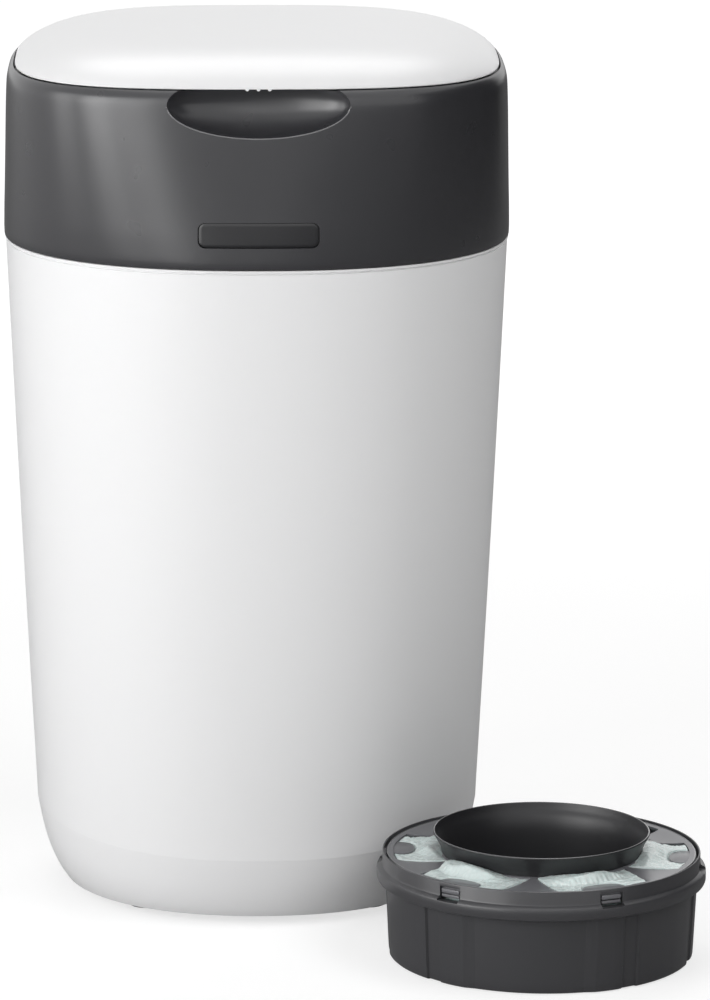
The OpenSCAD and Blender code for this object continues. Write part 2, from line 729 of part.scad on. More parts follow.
// Sprung pawl whose nose lies in a valley between two teeth
module click_pawl() {
    pivot = polar(pawl_r, pawl_lead);
    thick = click_t + 0.4;
    color("silver") translate([0, 0, click_z - 1.2]) rotate([0, 0, pawl_turn]) difference() {
        union() {
            linear_extrude(thick) polygon([
                polar(click_root + 0.7, tooth_pitch * 0.09), polar(click_tip + 1.2, tooth_pitch * 0.03),
                polar(click_tip + 3.4, tooth_pitch * 0.14), polar(pawl_r + 2.6, pawl_lead - 2),
                polar(pawl_r + 2.6, pawl_lead), polar(pawl_r - 2.6, pawl_lead),
                polar(click_tip + 1, pawl_lead - 3.5), polar(click_tip + 1, tooth_pitch * 0.6),
                polar(click_root + tooth_h / 2, tooth_pitch * 0.24)
            ]);
            translate(pivot) cylinder(r = 3.2, h = thick);
        }
        translate([pivot.x, pivot.y, -1]) cylinder(r = pawl_pin_r + pin_gap, h = thick + 4);
    }
}

// Refill cassette, standing beside the bin
cassette_in = [47.3798, 42.4798];
cassette_spot = [head_half - cassette_in.x, cassette_in.y - head_half] + flange_r * [cos(45), -sin(45)];
cassette_turn = -7.4;
tub_r = lip_r - 1.4;
tub_low_r = tub_r - 1.9;
band_z = lip_z - 8.1;
band_low = band_z - 7;
window_z = lip_z - 9.2;
window_h = 7;
clip_half = 6.2;
cap_z = lip_z - 1;
cap_t = 1.6;
core_in = neck_r - 6.4;
core_t = 1.6;
window_in = core_in + core_t + 1.5;
window_out = lip_r - 5.5;
window_half = window_in * 0.478;
tab_in = window_out - 10.4;
module at_cassette() {
    translate([cassette_spot.x, cassette_spot.y, 0]) rotate([0, 0, cassette_turn]) children();
}

module cassette_tub() {
    w = cassette_wall;
    panel = 46.4;
    flute = 6.2;
    flute_turn = 39.6;
    recess = 1.1;
    recess_profile = [
        [tub_low_r - recess, -1], [tub_r + 5, -1],
        [tub_r + 5, band_low - 0.5], [tub_r - recess, band_low - 0.5]
    ];
    color("#3b3b3e") at_cassette() difference() {
        rotate_extrude() polygon([
            [core_in - 2, 0], [tub_low_r - 1.6, 0], [tub_low_r, 1.6], [tub_r, band_low],
            [flange_r - 1.6, band_low + 0.6], [flange_r, band_low + 2.6], [flange_r, band_z - 0.4],
            [flange_r - 0.8, band_z + 0.4], [lip_r + 0.2, band_z + 0.8], [lip_r, lip_z - 0.5],
            [lip_r - 0.5, lip_z], [lip_r - 1.1, lip_z], [lip_r - 1.6, lip_z - 0.5],
            [lip_r - 1.6, band_z], [tub_r - w, band_low + 2], [tub_low_r - w, w],
            [core_in - 0.2, w], [core_in - 0.2, 14], [core_in - 2, 14]
        ]);
        for (turn = [30, 150, 270]) rotate([0, 0, turn]) {
            rotate([0, 0, -panel / 2]) rotate_extrude(angle = panel) polygon(recess_profile);
            for (side = [-1, 1]) rotate([0, 0, side * flute_turn - flute / 2])
                rotate_extrude(angle = flute) polygon(recess_profile);
        }
        around(6, lip_r - 3) translate([0, -clip_half, window_z]) cube([8, 2 * clip_half, window_h]);
    }
}

module cassette_core() {
    rise = neck_z - cap_z;
    mid = cap_z + rise * 0.5;
    color("#2c2c2f") at_cassette() rotate_extrude() polygon([
        [core_in, cassette_wall + 0.1], [core_in + core_t, cassette_wall + 0.1],
        [core_in + core_t, cap_z - 2], [core_in + core_t + 0.5, cap_z + rise * 0.24],
        [mix(core_in + core_t, neck_r, 0.45), mid], [neck_r - 0.9, neck_z - 2.6],
        [neck_r, neck_z - 0.7], [neck_r - 0.4, neck_z], [neck_r - 1, neck_z - 0.2],
        [neck_r - 2.5, neck_z - 3.2], [mix(core_in, neck_r - core_t, 0.42), mid],
        [core_in + 0.4, cap_z + rise * 0.2], [core_in, cap_z - 3]
    ]);
}
module cassette_cap() {
    t = cap_t;
    inner = core_in + core_t + 0.3;
    outer = lip_r - 1.9;
    function window_arc(r, side) = [for (i = [-4:4])
        let (a = side * asin(window_half / r) * i / 4) r * [cos(a), sin(a)]];
    color("#8a8a8e") at_cassette() {
        difference() {
            union() {
                rotate_extrude() polygon([
                    [inner, cap_z - t], [outer - t, cap_z - t],
                    [outer - t, band_z + 1], [outer, band_z + 1],
                    [outer, cap_z - 0.4], [outer - 0.4, cap_z], [inner, cap_z]
                ]);
                around(6, outer - 0.8) translate([0, 0.8 - clip_half, window_z + 2])
                    cube([2, 2 * clip_half - 1.6, 1.5]);
            }
            around(6, 0) translate([0, 0, cap_z - 3]) linear_extrude(6)
                polygon(concat(window_arc(window_out, 1), window_arc(window_in, -1)));
        }
        around(6, tab_in) translate([0, 0, cap_z - t]) linear_extrude(t) polygon([
            [11.2, -11], [6, -10], [2, -8.4], [0, -4.6], [0, 4.6], [2, 8.4], [6, 10], [11.2, 11]
        ]);
    }
}

// Film gathered in pleats round the core, swelling up through the windows of the cap
pleat_count = 48;
pleat_depth = 0.9;
module film_pleats() {
    low = cassette_wall + 0.4;
    high = cap_z - cap_t - 0.6;
    swell = cap_t + 2.2;
    inner = core_in + 4.2;
    outer = tub_low_r - cassette_wall - 1.4;
    steps = pleat_count * 2;
    swell_in = window_in + pleat_depth + 0.5;
    swell_out = tab_in - 1.4;
    levels = [
        [inner, low, 0], [outer, low, 0], [outer, mix(low, high, 0.5), 0], [outer - 0.6, high - 2, 0],
        [swell_out + 1, high, 0], [swell_out, high, 0.5], [mix(swell_out, swell_in, 0.3), high, 1],
        [mix(swell_out, swell_in, 0.7), high, 0.9], [swell_in, high, 0.4],
        [swell_in - 0.4, high, 0], [inner, high - 5, 0]
    ];
    function turn(i) = 360 * i / steps;
    function window_off(t, r) = r * sin(abs((t + 30) % 60 - 30)) / (window_half - 1.6);
    function swelling(t, r) = window_off(t, r) < 1 ? pow(cos(90 * window_off(t, r)), 0.6) : 0;
    points = [for (l = levels, i = [0:steps - 1]) let (t = turn(i), r = l[0] - (i % 2) * pleat_depth)
        [r * cos(t), r * sin(t), l[1] + l[2] * swell * swelling(t, r) * (1 - 0.18 * (i % 2))]];
    faces = [for (j = [0:len(levels) - 1], i = [0:steps - 1])
        let (a = j * steps, b = (j + 1) % len(levels) * steps, k = (i + 1) % steps)
        each [[a + i, b + i, b + k], [a + i, b + k, a + k]]];
    color("#cfe0dc") at_cassette() polyhedron(points, faces);
}

bucket_shell();
rubber_feet();
rim_gasket();
catch_striker();
head_hinge_pin();
collar_shell();
funnel_deck();
deck_screws();
petal_ring();
petal_pins();
ring_screws();
cutter_guard();
cutter_blade();
pawl_pin();
lid_hinge_pin();
release_button();
lid_panel();
lid_liner();
lid_seal();
liner_screws();
twist_cup();
click_ring();
grip_pads();
click_pawl();
petal(1);  // petal_1
petal(2);  // petal_2
petal(3);  // petal_3
petal(4);  // petal_4
petal(5);  // petal_5
petal(6);  // petal_6
cassette_tub();
cassette_core();
cassette_cap();
film_pleats();
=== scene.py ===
"""Finished look of the nappy bin and the refill cassette that stands beside it.

Lengths inside the classes are millimetres; Draft turns them into metres.
"""

import logging
import math
from dataclasses import dataclass, field
from enum import Enum
from typing import Iterable, Optional, Sequence

import bmesh
import bpy
import numpy as np
from mathutils import Matrix, Vector, noise

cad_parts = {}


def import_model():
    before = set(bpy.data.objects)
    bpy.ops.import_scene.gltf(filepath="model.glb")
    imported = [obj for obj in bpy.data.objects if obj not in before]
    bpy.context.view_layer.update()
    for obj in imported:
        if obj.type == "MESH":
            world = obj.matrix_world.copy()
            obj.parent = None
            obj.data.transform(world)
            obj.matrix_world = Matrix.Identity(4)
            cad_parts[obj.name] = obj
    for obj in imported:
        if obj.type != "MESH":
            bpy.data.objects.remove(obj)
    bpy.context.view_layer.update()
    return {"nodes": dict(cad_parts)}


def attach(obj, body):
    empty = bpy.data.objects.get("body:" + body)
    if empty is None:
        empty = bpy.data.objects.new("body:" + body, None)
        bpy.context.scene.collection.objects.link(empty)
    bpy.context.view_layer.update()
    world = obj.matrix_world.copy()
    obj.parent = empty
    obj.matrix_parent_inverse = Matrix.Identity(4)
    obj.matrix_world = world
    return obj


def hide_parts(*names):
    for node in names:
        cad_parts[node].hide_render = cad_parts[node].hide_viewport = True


log = logging.getLogger("nappy_bin")
MM = 0.001
SHARP = 32.0  # degrees between faces above which an edge shows
WHITE = (1.0, 1.0, 1.0, 1.0)
HEAD_HINGE = (135.4, 346.5)  # depth and height
LID_HINGE = (124.5, 434.5)
AXIS_R = 0.01  # radius at which a turned rod closes on its axis
Rows = list[np.ndarray]
Pair = tuple[float, float]
Triple = tuple[float, float, float]
Profile = list[Pair]
Piece = bpy.types.Object
Material = bpy.types.Material
Socket = bpy.types.NodeSocket


class Axis(Enum):
    """Direction that a turned or drawn-out shape follows."""

    X = 0
    Y = 1
    Z = 2


# ---------------------------------------------------------------- finishes
class Tree:
    """Short ways to fill a node tree."""

    def __init__(self, tree: bpy.types.NodeTree) -> None:
        """Empties the tree.

        Args:
            tree: Node tree of a material or of the world.
        """
        self.nodes, self.links = tree.nodes, tree.links
        self.nodes.clear()

    def add(self, kind: str, inputs: dict[str | int, object], **settings: object) -> bpy.types.Node:
        """Adds a node.

        Args:
            kind: Type of the node, without the ShaderNode in front.
            inputs: The value or the source socket of each input, by its name or number.
            settings: Settings of the node itself, such as its operation.

        Returns:
            The node.
        """
        node = self.nodes.new("ShaderNode" + kind)
        for name, setting in settings.items():
            setattr(node, name, setting)
        for key, value in inputs.items():
            if isinstance(value, Socket):
                self.links.new(value, node.inputs[key])
            else:
                node.inputs[key].default_value = value
        return node


class Graph(Tree):
    """Node tree of one material."""

    def __init__(self, name: str) -> None:
        """Makes a material with a plain shader.

        Args:
            name: Name of the material.
        """
        self.material = bpy.data.materials.new(name)
        self.material.use_nodes = True
        super().__init__(self.material.node_tree)
        self.shader = self.add("BsdfPrincipled", {})
        self.output = self.add("OutputMaterial", {0: self.shader.outputs[0]})
        self.place = self.add("TexCoord", {}).outputs["Object"]

    def value(self, socket: str, number: float) -> None:
        """Sets one number on the shader."""
        self.shader.inputs[socket].default_value = number

    def noise(self, scale: float, detail: float = 2.0, stretch: Optional[Triple] = None) -> Socket:
        """Adds a noise texture in object space.

        Args:
            scale: Features per metre.
            detail: Octaves of the noise.
            stretch: Scale of the coordinates along each axis, for brushed or drawn surfaces.

        Returns:
            The socket with the noise value.
        """
        source = self.place
        if stretch:
            source = self.add("Mapping", {"Vector": source, "Scale": stretch}).outputs[0]
        return self.add("TexNoise", {"Vector": source, "Scale": scale, "Detail": detail}).outputs["Fac"]

    def span(self, source: Socket, low: float, high: float, start: float = 0.0, end: float = 1.0,
             rise: str = "LINEAR") -> Socket:
        """Maps a value to a range.

        Args:
            source: Socket with the value.
            low: Result at the start.
            high: Result at the end.
            start: Value at which the rise starts.
            end: Value at which it ends.
            rise: Shape of the rise.

        Returns:
            The socket with the mapped value.
        """
        inputs = {"Value": source, "From Min": start, "From Max": end, "To Min": low, "To Max": high}
        return self.add("MapRange", inputs, interpolation_type=rise).outputs[0]

    def blend(self, factor: Socket, dark: Sequence[float], light: Sequence[float]) -> Socket:
        """Mixes two linear colours by a factor that runs from 0, dark, to 1, light."""
        inputs = {0: factor, 6: (*dark, 1.0), 7: (*light, 1.0)}
        return self.add("Mix", inputs, data_type="RGBA").outputs[2]

    def bump(self, height: Socket, strength: float, distance: float, under: Optional[Socket] = None) -> Socket:
        """Adds a bump node.

        Args:
            height: Socket with the height.
            strength: Strength of the bump.
            distance: Height in metres of a full step.
            under: Normal socket of a coarser bump below this one.

        Returns:
            The socket with the normal.
        """
        inputs = {"Height": height, "Strength": strength, "Distance": distance}
        if under is not None:
            inputs["Normal"] = under
        return self.add("Bump", inputs).outputs[0]

    def feed(self, source: Socket, socket: str) -> None:
        """Links a socket to the shader."""
        self.links.new(source, self.shader.inputs[socket])


def scaled(colour: Sequence[float], factor: float) -> tuple[float, ...]:
    """Returns the colour with each channel multiplied and kept under 1."""
    return tuple(min(1.0, c * factor) for c in colour)


@dataclass(frozen=True)
class Moulding:
    """Injection-moulded plastic with a fine spark grain and faint flow marks."""

    name: str
    colour: Triple
    roughness: float = 0.4
    grain: float = 0.25
    grain_scale: float = 1400.0
    mottle: float = 0.03
    specular: float = 0.5
    coat: float = 0.0

    def make(self) -> Material:
        """Builds the node tree.

        Returns:
            The material.
        """
        g = Graph(self.name)
        dark, light = scaled(self.colour, 1 - self.mottle), scaled(self.colour, 1 + self.mottle)
        g.feed(g.blend(g.noise(9.0, 3.0, (1.0, 1.0, 0.35)), dark, light), "Base Color")
        g.feed(g.span(g.noise(70.0, 1.0), self.roughness - 0.02, self.roughness + 0.03), "Roughness")
        coarse = g.bump(g.noise(30.0, 2.0), 0.02, 0.0003)
        g.feed(g.bump(g.noise(self.grain_scale, 1.0), self.grain, 0.00004, coarse), "Normal")
        g.value("Specular IOR Level", self.specular)
        if self.coat:
            g.value("Coat Weight", self.coat)
            g.value("Coat Roughness", 0.12)
        return g.material


@dataclass(frozen=True)
class Rubber:
    """Matt moulded rubber with a slight bloom."""

    name: str
    colour: Triple = (0.022, 0.022, 0.024)

    def make(self) -> Material:
        """Builds the node tree.

        Returns:
            The material.
        """
        g = Graph(self.name)
        g.feed(g.blend(g.noise(120.0, 5.0), self.colour, scaled(self.colour, 1.9)), "Base Color")
        g.feed(g.span(g.noise(90.0, 4.0), 0.62, 0.85), "Roughness")
        g.feed(g.bump(g.noise(2200.0, 3.0), 0.5, 0.00005), "Normal")
        g.value("Specular IOR Level", 0.3)
        return g.material


@dataclass(frozen=True)
class Steel:
    """Drawn or turned steel with fine lines."""

    name: str
    colour: Triple = (0.62, 0.63, 0.65)

    def make(self) -> Material:
        """Builds the node tree.

        Returns:
            The material.
        """
        g = Graph(self.name)
        lines = g.noise(3000.0, 4.0, (0.04, 1.0, 1.0))
        g.feed(g.blend(g.noise(150.0, 3.0), scaled(self.colour, 0.82), self.colour), "Base Color")
        g.feed(g.span(lines, 0.18, 0.38), "Roughness")
        g.feed(g.bump(lines, 0.3, 0.00002), "Normal")
        g.value("Metallic", 1.0)
        return g.material


@dataclass(frozen=True)
class Film:
    """Crumpled translucent film with a pale green tint."""

    name: str
    colour: Triple = (0.70, 0.79, 0.775)

    def make(self) -> Material:
        """Builds the node tree.

        Returns:
            The material.
        """
        g = Graph(self.name)
        folds = g.noise(55.0, 3.0)
        g.feed(g.blend(folds, scaled(self.colour, 0.9), scaled(self.colour, 1.1)), "Base Color")
        g.feed(g.span(g.noise(300.0, 2.0), 0.2, 0.34), "Roughness")
        creases = g.bump(g.noise(140.0, 1.0), 0.3, 0.0005)
        g.feed(g.bump(g.noise(520.0, 2.0), 0.2, 0.0001, creases), "Normal")
        g.value("Subsurface Weight", 0.2)
        g.shader.inputs["Subsurface Radius"].default_value = (0.003, 0.004, 0.004)
        g.value("Coat Weight", 0.2)
        g.value("Coat Roughness", 0.15)
        return g.material


def made(finish: Moulding | Rubber | Steel | Film) -> Material:
    """Returns a dataclass field that starts as the finish's material."""
    return field(default_factory=finish.make)


@dataclass(frozen=True)
class Finishes:
    """Every finish of the bin, made once."""

    shell: Material = made(Moulding("shell_white", (0.80, 0.80, 0.805), 0.42, 0.10, 900.0, 0.006, 0.4))
    lid: Material = made(Moulding("lid_white", (0.84, 0.84, 0.845), 0.34, 0.06, 900.0, 0.005, 0.45))
    head: Material = made(Moulding("head_grey", (0.033, 0.033, 0.0365), 0.28, 0.20, 3000.0, 0.02, 0.72))
    # This lighter, glossy grey dresses thin rim beads. On the scoop rim and the cassette's neck rim it is a painted
    # highlight line, far lighter than the head and core grey. On the cap edge it is close to the cap's own grey.
    lip: Material = made(Moulding("painted_highlight_grey", (0.13, 0.13, 0.135), 0.16, 0.05, 3000.0, 0.02, 0.9, 0.6))
    button: Material = made(Moulding("button_grey", (0.014, 0.014, 0.016), 0.30, 0.20, 3000.0, 0.02, 0.6))
    deck: Material = made(Moulding("deck_grey", (0.085, 0.085, 0.09), 0.4, 0.3, 1300.0, 0.05))
    liner: Material = made(Moulding("liner_grey", (0.42, 0.42, 0.43), 0.36, 0.2, 1200.0, 0.02))
    cup: Material = made(Moulding("cup_grey", (0.035, 0.035, 0.038), 0.34, 0.25, 1300.0, 0.06))
    works: Material = made(Moulding("works_white", (0.66, 0.66, 0.67), 0.34, 0.15, 1000.0, 0.02))
    rubber: Material = made(Rubber("soft_rubber"))
    steel: Material = made(Steel("turned_steel"))
    tub: Material = made(Moulding("tub_grey", (0.052, 0.052, 0.056), 0.30, 0.14, 2600.0, 0.04, 0.55))
    core: Material = made(Moulding("core_grey", (0.022, 0.022, 0.024), 0.40, 0.10, 2400.0, 0.03, 0.5))
    cap: Material = made(Moulding("cap_grey", (0.155, 0.155, 0.167), 0.28, 0.14, 2600.0, 0.05, 0.6))
    film: Material = made(Film("film_pale"))


# ------------------------------------------------------------ shape makers
def curve(points: Profile, steps: int) -> Profile:
    """Draws a Catmull-Rom line through profile points.

    Args:
        points: Half width and height at each level.
        steps: Pieces between two points.

    Returns:
        The smooth line, ends included.
    """
    p = np.array([points[0], *points, points[-1]], float)
    out: Profile = []
    for i in range(1, len(p) - 2):
        for k in range(steps):
            t = k / steps
            a, b, c, d = p[i - 1], p[i], p[i + 1], p[i + 2]
            q = 0.5 * (2 * b + (c - a) * t + (2 * a - 5 * b + 4 * c - d) * t * t
                       + (3 * b - a - 3 * c + d) * t ** 3)
            out.append((float(q[0]), float(q[1])))
    out.append(tuple(points[-1]))
    return out


def soften(points: Profile, radius: float, steps: int = 3) -> Profile:
    """Rounds every corner of a closed outline.

    Args:
        points: Corners of the outline.
        radius: Distance from a corner at which its arc starts.
        steps: Pieces of each arc.

    Returns:
        The rounded outline.
    """
    out: Profile = []
    n = len(points)
    for i in range(n):
        a, b, c = (np.array(points[j % n], float) for j in (i - 1, i, i + 1))
        u, v = a - b, c - b
        lu, lv = np.linalg.norm(u), np.linalg.norm(v)
        if abs(u[0] * v[1] - u[1] * v[0]) < 0.12 * lu * lv:
            out.append(tuple(b))
            continue
        p, q = b + u / lu * min(radius, lu * 0.45), b + v / lv * min(radius, lv * 0.45)
        for k in range(steps + 1):
            t = k / steps
            out.append(tuple((1 - t) ** 2 * p + 2 * t * (1 - t) * b + t * t * q))
    return [(float(x), float(y)) for x, y in out]


def arc(x: float, y: float, radius: float, degrees: Iterable[float]) -> Profile:
    """Returns the points of an arc at angles in degrees."""
    turns = [math.radians(a) for a in degrees]
    return [(x + radius * math.cos(t), y + radius * math.sin(t)) for t in turns]


def tube(inner: float, outer: float, low: float, high: float) -> Profile:
    """Returns the outline that turns into a tube between two places on its axis."""
    return [(inner, low), (outer, low), (outer, high), (inner, high)]


def hoop(radius: np.ndarray | float, height: np.ndarray | float, turns: np.ndarray) -> np.ndarray:
    """Returns the points of a level ring at angles in radians, one a row."""
    return np.stack([radius * np.cos(turns), radius * np.sin(turns), np.broadcast_to(height, turns.shape)], 1)


class Draft:
    """Collects points in millimetres and faces, and becomes one Blender object in metres."""

    def __init__(self) -> None:
        """Starts an empty draft."""
        self.points: list[np.ndarray] = []
        self.faces: list[tuple[int, ...]] = []
        self.count = 0

    def add(self, points: np.ndarray) -> int:
        """Adds points.

        Args:
            points: One point a row.

        Returns:
            The number of the first of them.
        """
        start = self.count
        self.points.append(np.asarray(points, float))
        self.count += len(points)
        return start

    def skin(self, rows: Rows, around: bool = True, loop: bool = False, caps: bool = False) -> "Draft":
        """Joins rows of points with four-sided faces.

        Args:
            rows: Rows of equal length.
            around: Whether each row closes on itself.
            loop: Whether the last row meets the first.
            caps: Whether the first and last row are filled.

        Returns:
            The draft itself.
        """
        width = len(rows[0])
        start = self.add(np.concatenate(rows))
        for j in range(len(rows) if loop else len(rows) - 1):
            a, b = start + j * width, start + (j + 1) % len(rows) * width
            for i in range(width if around else width - 1):
                k = (i + 1) % width
                self.faces.append((a + i, a + k, b + k, b + i))
        if caps:
            last = start + (len(rows) - 1) * width
            self.faces.append(tuple(start + i for i in reversed(range(width))))
            self.faces.append(tuple(last + i for i in range(width)))
        return self

    def turned(self, profile: Profile, columns: int = 96, axis: Axis = Axis.Z,
               centre: Triple = (0, 0, 0)) -> "Draft":
        """Turns a closed outline of radius and length round an axis.

        Args:
            profile: Radius and place along the axis of each corner.
            columns: Steps of the turn.
            axis: Axis of the turn.
            centre: Point that the axis goes through.

        Returns:
            The draft itself.
        """
        turns = np.radians(np.linspace(0, 360, columns, endpoint=False))
        return self.skin([self.swing(hoop(r, z, turns), axis) + np.array(centre) for r, z in profile], loop=True)

    @staticmethod
    def swing(points: np.ndarray, axis: Axis) -> np.ndarray:
        """Turns points drawn along Z so that they lie along the axis."""
        order = {Axis.X: [2, 0, 1], Axis.Y: [1, 2, 0], Axis.Z: [0, 1, 2]}[axis]
        return points[:, order]

    def drawn(self, outline: Profile, low: float, high: float, axis: Axis = Axis.Z) -> "Draft":
        """Draws a flat outline out along an axis.

        Args:
            outline: Corners; for X they are depth and height, for Y height and width.
            low: Start along the axis.
            high: End along the axis.
            axis: Direction.

        Returns:
            The draft itself.
        """
        flat = np.array(outline, float)
        rows = [self.swing(np.column_stack([flat, np.full(len(flat), z)]), axis) for z in (low, high)]
        return self.skin(rows, caps=True)

    def block(self, low: Sequence[float], high: Sequence[float]) -> "Draft":
        """Adds a box between two corners."""
        outline = [(low[0], low[1]), (high[0], low[1]), (high[0], high[1]), (low[0], high[1])]
        return self.drawn(outline, low[2], high[2])

    def make(self, name: str, sharp: float = SHARP) -> Piece:
        """Makes the object.

        Args:
            name: Name of the object and its mesh.
            sharp: Faces that meet at more than this angle in degrees show an edge.

        Returns:
            The object, linked to the scene.
        """
        mesh = bpy.data.meshes.new(name)
        mesh.from_pydata((np.concatenate(self.points) * MM).tolist(), [], self.faces)
        mesh.validate()
        work = bmesh.new()
        work.from_mesh(mesh)
        bmesh.ops.remove_doubles(work, verts=work.verts, dist=1e-7)
        bmesh.ops.recalc_face_normals(work, faces=work.faces)
        work.to_mesh(mesh)
        work.free()
        piece = bpy.data.objects.new(name, mesh)
        bpy.context.scene.collection.objects.link(piece)
        smooth(piece, sharp)
        return piece


def smooth(piece: Piece, sharp: float) -> None:
    """Shades a piece smooth and keeps its sharper edges.

    Args:
        piece: The piece.
        sharp: Angle in degrees above which an edge shows.
    """
    mesh = piece.data
    mesh.polygons.foreach_set("use_smooth", np.ones(len(mesh.polygons), bool))
    mesh.set_sharp_from_angle(angle=math.radians(sharp))
    mesh.update()


def bake(piece: Piece) -> Piece:
    """Applies every modifier of a piece.

    Args:
        piece: The piece.

    Returns:
        The same piece with its new mesh.
    """
    graph = bpy.context.evaluated_depsgraph_get()
    old = piece.data
    piece.data = bpy.data.meshes.new_from_object(piece.evaluated_get(graph))
    piece.modifiers.clear()
    bpy.data.meshes.remove(old)
    piece.data.name = piece.name
    smooth(piece, SHARP)
    return piece


def cut(piece: Piece, other: Piece, how: str = "DIFFERENCE") -> Piece:
    """Cuts or joins a piece with another solid, which is used up.

    Args:
        piece: The piece that stays.
        other: The solid that is taken away, kept in common or added.
        how: DIFFERENCE, INTERSECT or UNION.

    Returns:
        The piece.
    """
    modifier = piece.modifiers.new("cut", "BOOLEAN")
    modifier.operation = how
    modifier.solver = "EXACT"
    modifier.object = other
    bake(piece)
    bpy.data.objects.remove(other)
    return piece


def round_edges(piece: Piece, width: float, segments: int = 2, angle: float = 35.0) -> Piece:
    """Rounds the sharp edges of a piece.

    Args:
        piece: The piece.
        width: Width of the rounding in millimetres.
        segments: Faces across it.
        angle: Least angle in degrees of an edge that is rounded.

    Returns:
        The piece.
    """
    modifier = piece.modifiers.new("round", "BEVEL")
    modifier.width = width * MM
    modifier.segments = segments
    modifier.limit_method = "ANGLE"
    modifier.angle_limit = math.radians(angle)
    return bake(piece)


def join(pieces: Sequence[Piece], name: str, sharp: float = SHARP) -> Piece:
    """Joins meshes into one object.

    Args:
        pieces: Objects whose places are in their meshes.
        name: Name of the result.
        sharp: Angle in degrees above which edges stay sharp.

    Returns:
        The joined object.
    """
    work = bmesh.new()
    for piece in pieces:
        work.from_mesh(piece.data)
    mesh = bpy.data.meshes.new(name)
    work.to_mesh(mesh)
    work.free()
    for piece in pieces:
        old = piece.data
        bpy.data.objects.remove(piece)
        bpy.data.meshes.remove(old)
    result = bpy.data.objects.new(name, mesh)
    bpy.context.scene.collection.objects.link(result)
    smooth(result, sharp)
    return result


def swung(piece: Piece, degrees: float, to: Pair = (0.0, 0.0)) -> Piece:
    """Turns a piece's mesh about the upright axis and then shifts it.

    Args:
        piece: The piece.
        degrees: Turn, counter-clockwise from above.
        to: Shift in millimetres, across and in depth.

    Returns:
        The piece.
    """
    turn = Matrix.Rotation(math.radians(degrees), 4, "Z")
    piece.data.transform(Matrix.Translation((to[0] * MM, to[1] * MM, 0)) @ turn)
    piece.data.update()
    return piece


def named(piece: Piece, name: str) -> Piece:
    """Gives a piece and its mesh a name.

    Args:
        piece: The piece.
        name: The name.

    Returns:
        The piece.
    """
    piece.name = name
    piece.data.name = name
    return piece


def step(value: float, low: float, high: float) -> float:
    """Returns a smooth rise from 0 at low to 1 at high."""
    t = min(1.0, max(0.0, (value - low) / (high - low)))
    return t * t * (3 - 2 * t)


def settle(piece: Piece, finish: Material, body: str, slot: str, *nodes: str) -> Piece:
    """Dresses a piece, hangs it on its body and lets it stand for its parts.

    Args:
        piece: The finished piece.
        finish: Its material.
        body: Body that it moves with.
        slot: Material slot of the record; not used.
        nodes: Parts that it stands for.

    Returns:
        The piece.
    """
    piece.data.materials.clear()
    piece.data.materials.append(finish)
    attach(piece, body)
    if nodes:
        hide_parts(*nodes)
    log.info("%s: %d faces on %s", piece.name, len(piece.data.polygons), body)
    return piece


# ------------------------------------------------------------- sub-assemblies
@dataclass(frozen=True)
class Plan:
    """Rounded-square outline that every level of the bin follows."""

    inset: float = 3.45
    columns: int = 320

    def ring(self, half: np.ndarray | float, height: np.ndarray | float, square: float,
             inset: Optional[float] = None) -> np.ndarray:
        """Returns the outline at one level.

        Args:
            half: Half width, one for all or one a column.
            height: Height, one for all or one a column.
            square: Exponent of the outline, 2 for an ellipse.
            inset: How much less deep than wide the outline is, halved.

        Returns:
            One point a row.
        """
        less = self.inset if inset is None else inset
        c, s = self.turns()
        r = ((np.abs(c) / half) ** square + (np.abs(s) / (half - less)) ** square) ** (-1 / square)
        return np.stack([r * c, r * s, np.broadcast_to(height, c.shape)], 1)

    def turns(self) -> tuple[np.ndarray, np.ndarray]:
        """Returns the cosine and sine of each column's angle."""
        t = np.linspace(0, 2 * math.pi, self.columns, endpoint=False)
        return np.cos(t), np.sin(t)


